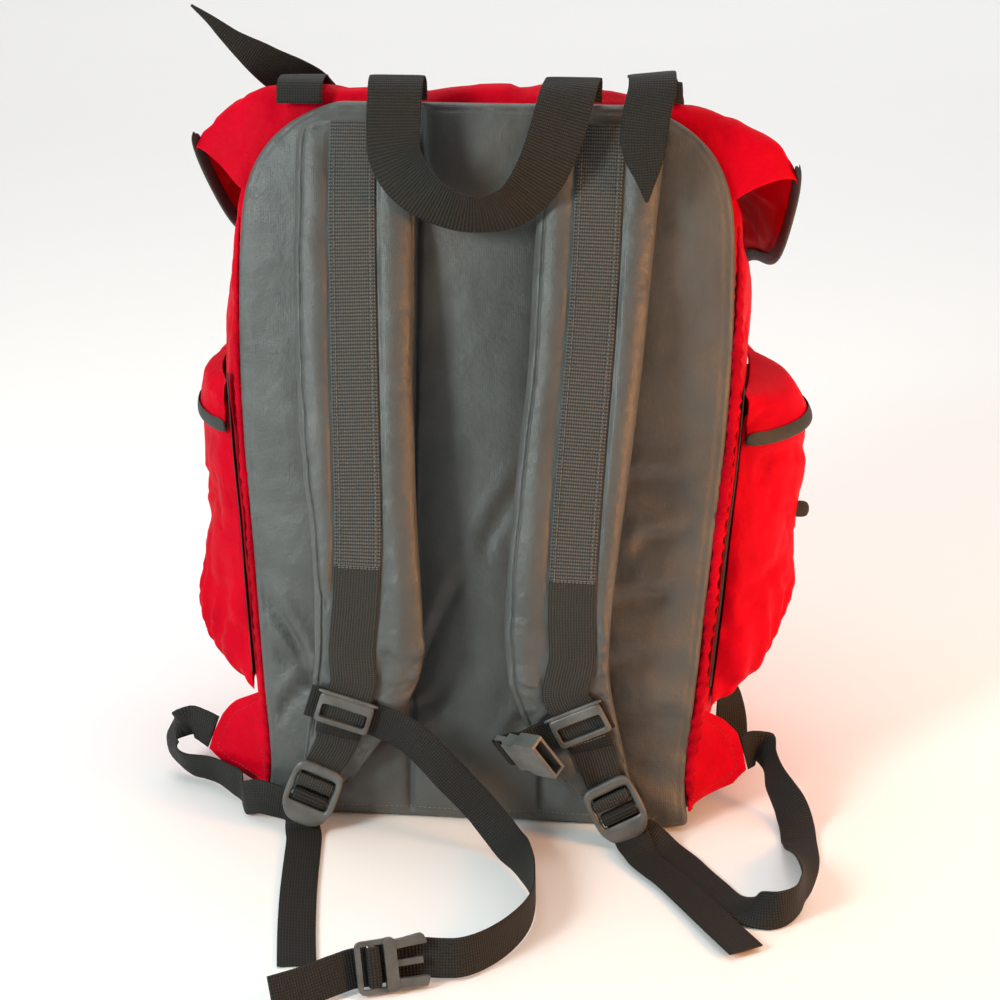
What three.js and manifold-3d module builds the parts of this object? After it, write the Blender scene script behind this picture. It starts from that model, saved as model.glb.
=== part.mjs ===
// Hiking rucksack, standing on its base with its back panel towards -Y and its loose webbing laid
// on the ground in front of it. Millimetres, +Z up, +X to the right of someone who looks at the
// back panel. The origin is on the underside of the base, near its middle.
import * as THREE from "three";
import { mergeVertices } from "three/addons/utils/BufferGeometryUtils.js";
import Module from "manifold-3d";

const wasm = await Module();
wasm.setup();

// Driving dimensions
const LEAN = 12;                  // degrees that the back panel leans back from upright
const REAR_Y = -100;              // where the bag's rear plane meets the ground
const GAP = 0.3;                  // clearance between pieces that touch
const PANEL_HEIGHT = 506;
const PANEL_HALF_WIDTH = 174;
const PANEL_THICKNESS = 12;       // padding at the crown of a channel
const PANEL_SEAM_THICKNESS = 6;   // padding where it is sewn down
const PANEL_SEAM_X = 47;          // sewn channels lie this far from the middle
const BAG_HEIGHT = 476;           // rear edge of the mouth above the ground
const BAG_HALF_WIDTH = 200;
const BAG_DEPTH = 225;
const BAG_CLOTH = 2;
const BAG_MARGIN = 7;             // red cloth that shows beside the back panel
const MOUTH_SLOPE = 0.42;         // the mouth drops towards the front
const TRAY_CLOTH = 1.6;
const TRAY_FLOOR = 2.4;
const LID_CLOTH = 1.6;
const LID_HALF_WIDTH = 210;
const LID_CREST = 507;            // top of the lid at its rear, above the ground
const LID_HEM_TURN = 11;          // flat strip of cloth along a hem
const LID_TUCK = 14;              // cloth sewn in behind the top of the panel
const LID_FALL = 150;             // drop of the front hem below the crest
const LID_SAG = 56;               // drop of the lid's rear corners below the crest
const LID_LIFT = 4.5;             // lid straps over the lid's crown
const TAPE_WIDTH = 9;             // binding tape, each side of the hem
const TAPE_THICKNESS = 0.9;
const TAPE_EASE = 0.65;           // extra room for the cloth inside a folded tape
const PAD_THICKNESS = 13;
const PAD_PUFF = 2.2;             // padding that swells beside the webbing
const PAD_BOW = 28;               // how far a pad stands off the panel half way down
const WEBBING = 1.5;              // thickness of every webbing
const WIDE_WEBBING = 32;
const HAUL_WEBBING = 37;
const NARROW_WEBBING = 25;
const HAUL_RISE = 16;             // haul loop above the panel's top edge
const HAUL_DROP = 76;             // its lowest point below that edge
const HAUL_HALF_SPAN = 60;
const HAUL_STAND_OFF = 52;
const POCKET_CLOTH = 1.8;
const POCKET_BOTTOM = 78;
const POCKET_HEIGHT = 208;
const POCKET_REAR = 14;
const POCKET_LENGTH = 130;
const POCKET_BULGE_LEFT = 40;
const POCKET_BULGE_RIGHT = 50;
const FLAP_TOP = 300;
const FLAP_DROP = 35;
const FLAP_EASE = 3.4;            // flap outside the pocket's wall
const TAB_WIDTH = 14;
const TAB_REACH = 10;
const WING_CLOTH = 2;
const WING_BOTTOM = 9;
const WING_TOP = 76;
const WING_REACH = 42;            // how far the left wing stands out at its widest
const RIGHT_WING_SHARE = 0.80;    // the right wing's reach beside the left one's
const WING_DEPTH = 14;            // how far its edge lies forward of its root
const WING_W = 12;                // its root behind the panel
const LOCK_THICKNESS = 5.6;
const LOCK_BAR = 4;
const LOCK_BAR_THICKNESS = 2.6;
const LOCK_RIM = 5;
const LOCK_WINDOW = 27;           // height of the lock's opening
const LOCK_TAB = 13;
const LOCK_LIFT = 23.5;           // middle of a lower lock in front of the panel
const SLIDER_HEIGHT = 23;
const SLIDER_POST = 3;
const SLIDER_THICKNESS = 3.4;
const UNDER_LAYER = 2.2;          // middle of the chest webbing over the pad
const BUCKLE_WIDTH = 33;
const BUCKLE_LENGTH = 46;
const MALE_THICKNESS = 7;
const FEMALE_THICKNESS = 11;
const LEFT_TAIL_REACH = 194;      // ground in front of the panel that each free end covers
const RIGHT_TAIL_REACH = 156;
const LOOP_REACH = 128;
const LEFT_LOOP_REACH = 64;
const CHEST_REACH = 258;
const CHEST_STAND_OFF = 52;       // loose chest webbing and open buckle in front of the rear plane
const LID_TAIL_RISE = 52;
const LID_TAIL_DROP = 66;
const LID_TAIL_STAND_OFF = 43;

// Derived values
const TRAY_HEIGHT = 0.06 * BAG_HEIGHT; // the bag's first level
const PANEL_BACK = 2 * GAP + Math.max(TRAY_CLOTH, LID_CLOTH);
const PANEL_FRONT = PANEL_BACK + PANEL_THICKNESS;
const lean = THREE.MathUtils.degToRad(LEAN);
const V = (x, y, z) => new THREE.Vector3(x, y, z);

// Colours
const look = (color, roughness) => new THREE.MeshStandardMaterial({ color, roughness, metalness: 0 });
const RED = look(0xd3122c, 0.6);
const CHARCOAL = look(0x3c4340, 0.75);
const BLACK = look(0x1d1e1f, 0.8);
const WEB = look(0x33342f, 0.8);
const PLASTIC = look(0x3b3d3b, 0.45);

// Frames of reference
const panelMatrix = new THREE.Matrix4().makeRotationX(Math.PI / 2 - lean).setPosition(0, REAR_Y, 0);
const onPanel = (x, h, d) => V(x, h, d).applyMatrix4(panelMatrix);
const rearY = (z) => REAR_Y + z * Math.tan(lean);
const onBag = (x, w, z) => V(x, rearY(z) + w, z);
const onGround = (x, reach, z) => V(x, REAR_Y - PANEL_FRONT / Math.cos(lean) - reach, z);

// Tables: a row for each section, a named column for each value
const table = (names, rows) => {
  const keys = names.split(" ");
  return rows.map((row) => Object.fromEntries(keys.map((key, i) => [key, row[i]])));
};

// Smooth value of one column where another column has the value v, without overshoot
function read(rows, key, v, column) {
  const n = rows.length;
  const x = (i) => rows[i][key];
  const y = (i) => rows[i][column];
  if (v <= x(0)) return y(0);
  if (v >= x(n - 1)) return y(n - 1);
  let i = 0;
  while (v > x(i + 1)) i += 1;
  const slope = (a) => (y(a + 1) - y(a)) / (x(a + 1) - x(a));
  const tangent = (a) => {
    if (a === 0 || a === n - 1) return slope(Math.min(a, n - 2));
    const [p, q] = [slope(a - 1), slope(a)];
    return p * q <= 0 ? 0 : (2 * p * q) / (p + q);
  };
  const step = x(i + 1) - x(i);
  const s = (v - x(i)) / step;
  const [m0, m1] = [tangent(i) * step, tangent(i + 1) * step];
  return (2 * s ** 3 - 3 * s ** 2 + 1) * y(i) + (s ** 3 - 2 * s ** 2 + s) * m0
    + (3 * s ** 2 - 2 * s ** 3) * y(i + 1) + (s ** 3 - s ** 2) * m1;
}

const range = (n) => Array.from({ length: n + 1 }, (_, i) => i / n);
const mix = THREE.MathUtils.lerp;

// Closed bodies from grids of points
function body(points, faces) {
  const geometry = new THREE.BufferGeometry();
  geometry.setAttribute("position", new THREE.Float32BufferAttribute(points.flatMap((p) => p.toArray()), 3));
  geometry.setIndex(faces.flat());
  return outward(geometry);
}

// Turns every face round when the body was wound inside out
function outward(geometry) {
  const p = geometry.attributes.position;
  const index = geometry.index.array;
  const [a, b, c] = [V(), V(), V()];
  let volume = 0;
  for (let i = 0; i < index.length; i += 3) {
    a.fromBufferAttribute(p, index[i]);
    b.fromBufferAttribute(p, index[i + 1]);
    c.fromBufferAttribute(p, index[i + 2]);
    volume += a.dot(b.cross(c));
  }
  if (volume < 0) {
    for (let i = 0; i < index.length; i += 3) [index[i], index[i + 1]] = [index[i + 1], index[i]];
  }
  return geometry;
}

// Unit normals of a grid of points; a grid whose columns meet is closed
function gridNormals(grid, closed) {
  const cols = grid[0].length;
  const pick = (row, j) => (closed ? row[(j + cols) % cols] : row[Math.min(Math.max(j, 0), cols - 1)]);
  return grid.map((row, i) => row.map((_, j) => {
    const up = grid[Math.min(i + 1, grid.length - 1)][j].clone().sub(grid[Math.max(i - 1, 0)][j]);
    const along = pick(row, j + 1).clone().sub(pick(row, j - 1));
    return along.cross(up).normalize();
  }));
}

const shift = (grid, normals, distance) =>
  grid.map((row, i) => row.map((p, j) => p.clone().addScaledVector(normals[i][j], distance)));

// A body between a front grid and a back grid of the same size
function doubleGrid(front, back) {
  const [rows, cols] = [front.length, front[0].length];
  const at = (side, i, j) => side * rows * cols + i * cols + j;
  const faces = [];
  for (let i = 0; i < rows - 1; i += 1) {
    for (let j = 0; j < cols - 1; j += 1) {
      faces.push([at(0, i, j), at(0, i, j + 1), at(0, i + 1, j + 1)], [at(0, i, j), at(0, i + 1, j + 1), at(0, i + 1, j)]);
      faces.push([at(1, i, j), at(1, i + 1, j + 1), at(1, i, j + 1)], [at(1, i, j), at(1, i + 1, j), at(1, i + 1, j + 1)]);
    }
  }
  const rim = [];
  for (let j = 0; j < cols - 1; j += 1) rim.push([[0, j], [0, j + 1]], [[rows - 1, j + 1], [rows - 1, j]]);
  for (let i = 0; i < rows - 1; i += 1) rim.push([[i + 1, 0], [i, 0]], [[i, cols - 1], [i + 1, cols - 1]]);
  for (const [p, q] of rim) {
    faces.push([at(1, ...p), at(1, ...q), at(0, ...q)], [at(1, ...p), at(0, ...q), at(0, ...p)]);
  }
  return body([...front.flat(), ...back.flat()], faces);
}

// An open sheet of cloth with thickness, centred on its grid
function sheet(grid, thickness) {
  const normals = gridNormals(grid, false);
  return doubleGrid(shift(grid, normals, thickness / 2), shift(grid, normals, -thickness / 2));
}

// Rings joined one to the next, closed by a fan at each end; from a given ring on, each quad is
// cut along its other diagonal
function loft(rings, other = rings.length) {
  const n = rings[0].length;
  const points = rings.flat();
  const faces = [];
  for (let i = 0; i < rings.length - 1; i += 1) {
    for (let j = 0; j < n; j += 1) {
      const [a, b] = [i * n + j, i * n + ((j + 1) % n)];
      if (i < other) faces.push([a, b, b + n], [a, b + n, a + n]);
      else faces.push([a, b, a + n], [b, b + n, a + n]);
    }
  }
  for (const end of [0, rings.length - 1]) {
    const centre = rings[end].reduce((sum, p) => sum.add(p), V(0, 0, 0)).divideScalar(n);
    points.push(centre);
    for (let j = 0; j < n; j += 1) {
      const [a, b] = [end * n + j, end * n + ((j + 1) % n)];
      faces.push(end === 0 ? [b, a, points.length - 1] : [a, b, points.length - 1]);
    }
  }
  return body(points, faces);
}

// Webbing: stations hold a point, a direction across and a width; bends are mitred
function webbing(stations, thickness = WEBBING) {
  const rings = stations.map(({ p, across, width }, i) => {
    const before = p.clone().sub(stations[Math.max(i - 1, 0)].p);
    const after = stations[Math.min(i + 1, stations.length - 1)].p.clone().sub(p);
    const t0 = (i === 0 ? after : before).clone().normalize();
    const t1 = (i === stations.length - 1 ? before : after).clone().normalize();
    const along = t0.clone().add(t1).normalize();
    const side = across.clone().addScaledVector(along, -across.dot(along)).normalize();
    const n0 = side.clone().cross(t0).normalize();
    const n1 = side.clone().cross(t1).normalize();
    const face = n0.clone().add(n1).divideScalar(1 + Math.max(n0.dot(n1), -0.2)).multiplyScalar(thickness / 2);
    side.multiplyScalar(width / 2);
    const corner = (a, b) => p.clone().addScaledVector(side, a).addScaledVector(face, b);
    return [corner(-1, -1), corner(1, -1), corner(1, 1), corner(-1, 1)];
  });
  return loft(rings);
}

// Stations on one smooth curve through stops; each stop gives p, across and width
function smooth(stops, per) {
  const curve = new THREE.CatmullRomCurve3(stops.map((s) => s.p), false, "centripetal");
  const spans = stops.length - 1;
  return range(spans * per).map((u) => {
    const i = Math.min(Math.floor(u * spans + 1e-9), spans - 1);
    const s = THREE.MathUtils.smoothstep(u * spans - i, 0, 1);
    const across = stops[i].across.clone().normalize().lerp(stops[i + 1].across.clone().normalize(), s);
    return { p: curve.getPoint(u), across: across.normalize(), width: mix(stops[i].width, stops[i + 1].width, s) };
  });
}

// Stations raised where a corner of the webbing would pass through the ground
function aboveGround(stations, thickness = WEBBING) {
  return stations.map(({ p, across, width }, i) => {
    const [last, next] = [stations[Math.max(i - 1, 0)].p, stations[Math.min(i + 1, stations.length - 1)].p];
    const along = p.clone().sub(last).normalize().add(next.clone().sub(p).normalize()).normalize();
    const side = across.clone().addScaledVector(along, -across.dot(along)).normalize();
    const normal = side.clone().cross(along);
    const low = p.z - Math.abs(side.z) * width / 2 - Math.abs(normal.z) * thickness / 2;
    return { p: p.clone().add(V(0, 0, Math.max(0, 1.6 * GAP - low))), across, width };
  });
}

const move = (stations, matrix) => stations.map(({ p, across, width }) => (
  { p: p.clone().applyMatrix4(matrix), across: across.clone().transformDirection(matrix), width }));

// Binding tape folded over a sheet's edge: each item is a grid place on the edge and one inside it
function binding(grid, items, cloth) {
  const normals = gridNormals(grid, false);
  const inner = cloth / 2 + GAP + TAPE_EASE;
  const outer = inner + TAPE_THICKNESS;
  return loft(items.map(([i, j, m, n]) => {
    const [p, q] = [grid[i][j], grid[m][n]];
    const width = TAPE_WIDTH * (i !== m && j !== n ? Math.SQRT2 : 1);
    const share = Math.min(width / p.distanceTo(q), 0.95);
    const out = p.clone().sub(q).setLength(GAP + TAPE_EASE);
    const rim = p.clone().sub(q).setLength(GAP + TAPE_EASE + TAPE_THICKNESS);
    const at = (s, away, offset) => p.clone().lerp(q, s).add(away)
      .addScaledVector(normals[i][j].clone().lerp(normals[m][n], s).normalize(), offset);
    const none = V(0, 0, 0);
    return [at(share, none, outer), at(0, rim, outer), at(0, rim, -outer), at(share, none, -outer),
      at(share, none, -inner), at(0, out, -inner), at(0, out, inner), at(share, none, inner)];
  }));
}

// Hard pieces: joined and cut as solids
function toSolid(geometry) {
  const bare = geometry.clone();
  bare.deleteAttribute("normal");
  bare.deleteAttribute("uv");
  const merged = mergeVertices(bare, 1e-4);
  return new wasm.Manifold(new wasm.Mesh({
    numProp: 3,
    vertProperties: new Float32Array(merged.attributes.position.array),
    triVerts: new Uint32Array(merged.index.array),
  }));
}

function fromSolid(solid) {
  const mesh = solid.getMesh();
  const geometry = new THREE.BufferGeometry();
  geometry.setAttribute("position", new THREE.BufferAttribute(mesh.vertProperties, 3));
  geometry.setIndex(new THREE.BufferAttribute(mesh.triVerts, 1));
  return geometry;
}

const block = (width, height, depth, x, y, z) => toSolid(new THREE.BoxGeometry(width, height, depth).translate(x, y, z));

function plate(points, thickness, corner) {
  const shape = new THREE.Shape();
  const n = points.length;
  points.forEach(([x, y, r = corner], i) => {
    const place = (k) => V(...points[(k + n) % n].slice(0, 2), 0);
    const [here, last, next] = [V(x, y, 0), place(i - 1), place(i + 1)];
    const start = here.clone().add(last.sub(here).setLength(r));
    const stop = here.clone().add(next.sub(here).setLength(r));
    if (i === 0) shape.moveTo(start.x, start.y);
    else shape.lineTo(start.x, start.y);
    shape.quadraticCurveTo(x, y, stop.x, stop.y);
  });
  const options = { depth: thickness, bevelEnabled: false, curveSegments: 3, steps: 1 };
  return toSolid(new THREE.ExtrudeGeometry(shape, options).translate(0, 0, -thickness / 2));
}

// Back panel
const PANEL_OUTLINE = table("h half", [
  [0.000, 0.885], [0.060, 0.850], [0.125, 0.875], [0.220, 0.897], [0.330, 0.925], [0.410, 0.943], [0.500, 0.971],
  [0.590, 0.990], [0.680, 1.000], [0.820, 0.995], [0.880, 0.977], [0.910, 0.950], [0.940, 0.890], [0.975, 0.785],
  [1.000, 0.600],
]);
const panelHalf = (h) => PANEL_HALF_WIDTH * read(PANEL_OUTLINE, "h", h / PANEL_HEIGHT, "half");

function panelGeometry() {
  const heights = [0, 0.02, 0.07, 0.16, 0.27, 0.38, 0.49, 0.6, 0.71, 0.82, 0.88, 0.925, 0.96, 0.985, 1];
  const perChannel = 6;
  const place = (front) => heights.map((share) => {
    const half = panelHalf(share * PANEL_HEIGHT);
    const edges = [-half, -PANEL_SEAM_X, PANEL_SEAM_X, half];
    const end = Math.sqrt(Math.sin(Math.PI * Math.min(Math.max(share, 0), 1)));
    return range(3 * perChannel).map((s) => {
      const channel = Math.min(Math.floor(s * 3 + 1e-9), 2);
      const u = s * 3 - channel;
      const crown = Math.sqrt(Math.max(Math.sin(Math.PI * u), 0)) * Math.min(1, 3 * end);
      const thickness = mix(PANEL_SEAM_THICKNESS, PANEL_THICKNESS, crown);
      return V(mix(edges[channel], edges[channel + 1], u), share * PANEL_HEIGHT, PANEL_BACK + (front ? thickness : 0));
    });
  });
  return doubleGrid(place(true), place(false));
}

// Main bag: level sections round a rear plane that leans with the panel
const BAG_SECTIONS = table("z left right front depth", [
  [0.00, 0.770, 0.770, 0.700, 0.92], [0.08, 0.800, 0.810, 0.740, 0.96], [0.18, 0.860, 0.865, 0.780, 1.00],
  [0.36, 0.905, 0.910, 0.800, 1.03], [0.55, 0.950, 0.925, 0.800, 1.04], [0.69, 1.010, 0.925, 0.790, 1.03],
  [0.77, 0.985, 0.945, 0.780, 1.01], [0.84, 0.925, 0.900, 0.760, 0.99], [0.92, 0.860, 0.840, 0.720, 0.95],
  [1.00, 0.740, 0.740, 0.640, 0.90],
]);
const BAG_LEVELS = [0.06, 0.14, 0.25, 0.36, 0.47, 0.58, 0.66, 0.73, 0.8, 0.86, 0.91, 0.96, 1];
const BAG_ARC = 24;
const BAG_REAR = 6;
const MOUTH_START = 0.62;

function bagRing(z, grow = 0) {
  const share = z / BAG_HEIGHT;
  const column = (name) => read(BAG_SECTIONS, "z", share, name);
  const depth = BAG_DEPTH * column("depth");
  const rear = panelHalf(z / Math.cos(lean)) + BAG_MARGIN;
  const front = BAG_HALF_WIDTH * column("front");
  const half = (side) => BAG_HALF_WIDTH * column(side < 0 ? "left" : "right");
  const flank = (side) => [
    V(side * rear, 0, 0), V(side * mix(rear, half(side), 0.72), 0.18 * depth, 0), V(side * half(side), 0.48 * depth, 0),
    V(side * mix(half(side), front, 0.5), 0.84 * depth, 0), V(side * 0.8 * front, 0.975 * depth, 0),
  ];
  const curve = new THREE.CatmullRomCurve3([...flank(1), V(0, depth, 0), ...flank(-1).reverse()], false, "centripetal");
  const arc = range(BAG_ARC).map((u) => curve.getPoint(u));
  const back = range(BAG_REAR).slice(1, -1).map((u) => V(mix(-rear, rear, u), 0, 0));
  const ring = [...arc, ...back];
  return grow === 0 ? ring : growRing(ring, grow);
}

// Moves each side of a closed outline out by a distance
function growRing(ring, distance) {
  const n = ring.length;
  const normal = (a, b) => V(b.y - a.y, a.x - b.x, 0).normalize();
  const turn = ring.reduce((sum, p, i) => sum + p.x * ring[(i + 1) % n].y - ring[(i + 1) % n].x * p.y, 0) > 0 ? 1 : -1;
  return ring.map((p, i) => {
    const a = normal(ring[(i + n - 1) % n], p);
    const b = normal(p, ring[(i + 1) % n]);
    return p.clone().addScaledVector(a.add(b).divideScalar(1 + a.dot(b)), turn * distance);
  });
}

function bagSlope(z) {
  return MOUTH_SLOPE * THREE.MathUtils.smoothstep(z / BAG_HEIGHT, MOUTH_START, 1);
}

const lift = (ring, z) => ring.map((p) => onBag(p.x, p.y, z).add(V(0, 0, -bagSlope(z) * p.y)));

// Half-width of the bag at a depth and a height, below the sloping mouth
function bagSide(side, w, z) {
  const ring = bagRing(z).slice(0, BAG_ARC + 1);
  const flank = side > 0 ? ring : [...ring].reverse();
  for (let i = 0; i < flank.length - 1; i += 1) {
    const [a, b] = [flank[i], flank[i + 1]];
    if (w >= a.y && w <= b.y) return mix(a.x, b.x, (w - a.y) / (b.y - a.y));
  }
  return flank[0].x;
}

function cup(outerRings, innerRings) {
  return loft([...outerRings, ...innerRings.reverse()], outerRings.length - 1);
}

function bagGeometry() {
  const bottom = TRAY_FLOOR + GAP;
  const heights = BAG_LEVELS.map((share) => share * BAG_HEIGHT);
  const outer = [bottom, ...heights].map((z) => lift(bagRing(z), z));
  const inner = [bottom + BAG_CLOTH, ...heights].map((z) => lift(bagRing(z, -BAG_CLOTH), z));
  return cup(outer, inner);
}

function trayGeometry() {
  const rings = (grow, heights) => heights.map((z) => lift(bagRing(z, grow), z));
  const outer = rings(GAP + TRAY_CLOTH, [0, TRAY_HEIGHT]);
  const inner = rings(GAP, [TRAY_FLOOR, TRAY_HEIGHT]);
  return cup(outer, inner);
}

// Shoulder pads: edges and webbing as shares of the panel's half-width, heights of its height
const PAD_LEFT = table("h outer inner web bow thick", [
  [0.045, -0.715, -0.525, -0.610, 0.00, 0.62], [0.081, -0.698, -0.455, -0.582, 0.20, 0.72],
  [0.132, -0.680, -0.345, -0.548, 0.42, 0.82], [0.190, -0.655, -0.236, -0.503, 0.66, 0.92],
  [0.233, -0.640, -0.190, -0.486, 0.80, 0.97], [0.302, -0.638, -0.195, -0.468, 0.94, 1.00],
  [0.385, -0.647, -0.213, -0.455, 1.00, 1.00], [0.468, -0.678, -0.230, -0.460, 0.98, 1.00],
  [0.553, -0.707, -0.241, -0.471, 0.90, 1.00], [0.648, -0.730, -0.259, -0.484, 0.72, 0.98],
  [0.800, -0.750, -0.264, -0.506, 0.34, 0.92], [0.890, -0.753, -0.290, -0.515, 0.14, 0.86],
  [0.972, -0.753, -0.330, -0.517, -0.03, 0.72],
]);
const PAD_RIGHT = table("h outer inner web bow thick", [
  [0.041, 0.660, 0.420, 0.578, 0.00, 0.62], [0.081, 0.632, 0.325, 0.530, 0.20, 0.72],
  [0.132, 0.598, 0.230, 0.475, 0.42, 0.82], [0.190, 0.563, 0.155, 0.412, 0.66, 0.92],
  [0.233, 0.540, 0.127, 0.399, 0.80, 0.97], [0.302, 0.546, 0.115, 0.391, 0.94, 1.00],
  [0.385, 0.566, 0.130, 0.394, 1.00, 1.00], [0.468, 0.592, 0.147, 0.405, 0.98, 1.00],
  [0.553, 0.618, 0.164, 0.416, 0.90, 1.00], [0.648, 0.644, 0.190, 0.433, 0.72, 0.98],
  [0.800, 0.675, 0.198, 0.448, 0.34, 0.92], [0.890, 0.695, 0.216, 0.453, 0.14, 0.86],
  [0.972, 0.718, 0.241, 0.457, -0.03, 0.72],
]);
const PAD_STATIONS = 20;

function padAt(rows, share) {
  const column = (name) => read(rows, "h", share, name);
  const back = PANEL_FRONT + GAP + PAD_BOW * column("bow");
  const thick = PAD_THICKNESS * column("thick");
  const [outer, inner, web] = ["outer", "inner", "web"].map((name) => PANEL_HALF_WIDTH * column(name));
  return { h: share * PANEL_HEIGHT, outer, inner, web, back, front: back + thick, thick };
}

function padGeometry(rows) {
  const [low, high] = [rows[0].h, rows[rows.length - 1].h];
  return loft(range(PAD_STATIONS).map((u) => {
    const pad = padAt(rows, mix(low, high, u));
    const side = Math.sign(pad.inner - pad.outer);
    const seat = WIDE_WEBBING / 2 + 1;
    const lobe = (edge, direction) => {
      const reach = Math.abs(edge - pad.web);
      const flat = Math.min(seat, 0.8 * reach);
      const clear = THREE.MathUtils.smoothstep(Math.abs(pad.h / PANEL_HEIGHT - 0.165), 0.045, 0.08);
      const puff = PAD_PUFF * clear * Math.min(1, Math.max(0, (reach - seat) / seat));
      const at = (r, d) => [pad.web + direction * r, d];
      return [at(flat, pad.front), at(mix(flat, reach, 0.5), pad.front + puff), at(mix(flat, reach, 0.86), pad.front - 0.1 * pad.thick),
        at(reach, mix(pad.back, pad.front, 0.45)), at(mix(flat, reach, 0.9), pad.back), at(0.8 * flat, pad.back)];
    };
    const profile = [...lobe(pad.outer, -side), ...lobe(pad.inner, side).reverse()];
    return profile.map(([x, d]) => V(x, pad.h, d));
  }));
}

// Ladder lock: local Y points up to the fixed webbing, local Z away from the pack
const lockHeight = LOCK_RIM + LOCK_WINDOW + LOCK_TAB;
const lockBarA = lockHeight / 2 - LOCK_RIM - 6.5 - LOCK_BAR / 2;
const lockBarB = lockBarA - LOCK_BAR - 7.5;

function lockGeometry(width) {
  const half = width / 2 + 5.5;
  const [top, bottom] = [lockHeight / 2, -lockHeight / 2];
  const outline = [[half, bottom, 14], [half, top, 9], [-half, top, 9], [-half, bottom, 14]];
  const opening = top - LOCK_RIM - LOCK_WINDOW / 2;
  const frame = plate(outline, LOCK_THICKNESS, 9).subtract(block(width + 2, LOCK_WINDOW, 2 * LOCK_THICKNESS, 0, opening, 0));
  const bar = (y) => block(width + 6, LOCK_BAR, LOCK_BAR_THICKNESS, 0, y, 0);
  return fromSolid(frame.add(bar(lockBarA)).add(bar(lockBarB)));
}

// Webbing once round a lock's bar: in above the bar and out below it, each side in its own layer
const lockLayer = (n) => -LOCK_THICKNESS / 2 - GAP - WEBBING / 2 - n * (WEBBING + GAP);

function lockWrap(barY, width, start, startLayer, end, endLayer) {
  const y = LOCK_BAR / 2 + GAP + WEBBING / 2;
  const z = LOCK_BAR_THICKNESS / 2 + GAP + WEBBING / 2;
  const points = [[start, lockLayer(startLayer)], [barY + y, lockLayer(startLayer)], [barY + y, z], [barY - y, z],
    [barY - y, lockLayer(endLayer)], [end, lockLayer(endLayer)]];
  return points.map(([a, b]) => ({ p: V(0, a, b), across: V(1, 0, 0), width }));
}

// A matrix from an origin, a direction up the piece and the direction that it faces
function facing(origin, up, face) {
  const z = face.clone().normalize();
  const y = up.clone().addScaledVector(z, -up.dot(z)).normalize();
  return new THREE.Matrix4().makeBasis(y.clone().cross(z), y, z).setPosition(origin);
}

const direction = (x, y, z) => V(x, y, z).transformDirection(panelMatrix);
const turned = (degrees) => [Math.sin(THREE.MathUtils.degToRad(degrees)), Math.cos(THREE.MathUtils.degToRad(degrees))];

// Hardware at the pads' lower ends: place and turn of each lock and slider
const LOCKS = table("side x h turn", [[-1, -0.655, 0.042, 21], [1, 0.589, 0.037, -28]]);
const SLIDERS = table("side x h turn", [[-1, -0.514, 0.168, 18], [1, 0.434, 0.163, -27]]);
const padRows = (side) => (side < 0 ? PAD_LEFT : PAD_RIGHT);

function lowerLockMatrix(side) {
  const { x, h, turn } = LOCKS.find((row) => row.side === side);
  const origin = onPanel(x * PANEL_HALF_WIDTH, h * PANEL_HEIGHT, PANEL_FRONT + LOCK_LIFT);
  return facing(origin, direction(...turned(turn), 0), direction(0, 0, 1));
}

function sliderMatrix(side) {
  const { x, h, turn } = SLIDERS.find((row) => row.side === side);
  const [low, high] = [padAt(padRows(side), h - 0.02), padAt(padRows(side), h + 0.02)];
  const slope = (high.front - low.front) / (high.h - low.h);
  const [across, up] = turned(turn);
  const origin = onPanel(x * PANEL_HALF_WIDTH, h * PANEL_HEIGHT, padAt(padRows(side), h).front);
  return facing(origin, direction(across, up, up * slope), direction(0, -slope, 1));
}

// The pad's webbing and the slider lie over the chest webbing
const UPPER_LAYER = UNDER_LAYER + WEBBING + GAP;
const SLIDER_LAYER = UPPER_LAYER + WEBBING / 2 + GAP + SLIDER_THICKNESS / 2;

function sliderGeometry() {
  const [half, high] = [WIDE_WEBBING / 2 + 0.6 + SLIDER_POST, SLIDER_HEIGHT / 2];
  const outline = [[half, -high], [half, high], [-half, high], [-half, -high]];
  const window = block(2 * half - 2 * SLIDER_POST, 0.5 * SLIDER_HEIGHT, 9, 0, -0.06 * SLIDER_HEIGHT, 0);
  const rail = block(2 * half + 4.5, 2.6, 2.2, 0, high + 1, -0.5);
  return fromSolid(plate(outline, SLIDER_THICKNESS, 2).subtract(window).add(rail).translate(0, 0, SLIDER_LAYER));
}

function padWebbing(side) {
  const rows = padRows(side);
  const slider = sliderMatrix(side);
  const lock = lowerLockMatrix(side);
  const flat = (share, width) => {
    const pad = padAt(rows, share);
    return { p: onPanel(pad.web, pad.h, pad.front + 2 * GAP + WEBBING / 2), across: V(1, 0, 0), width };
  };
  const top = rows[rows.length - 1].h;
  const upper = [top, 0.89, 0.8, 0.7, 0.6, 0.5, 0.4, 0.31, 0.25].map((share) => flat(share, WIDE_WEBBING));
  const inSlider = [24, 12, 0, -15].map((y) => (
    { p: V(0, y, UPPER_LAYER).applyMatrix4(slider), across: V(1, 0, 0).transformDirection(slider), width: WIDE_WEBBING }));
  const low = [0.112].map((share) => flat(share, 29));
  low[0].p.add(direction(0, 0, 2));
  const wrap = move(lockWrap(lockBarA, NARROW_WEBBING + 1, lockHeight / 2 + 1, 0, lockHeight / 2 - 3, 1), lock);
  return webbing([...smooth([...upper, ...inSlider, ...low, wrap[0]], 2), ...wrap.slice(1)]);
}

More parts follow.
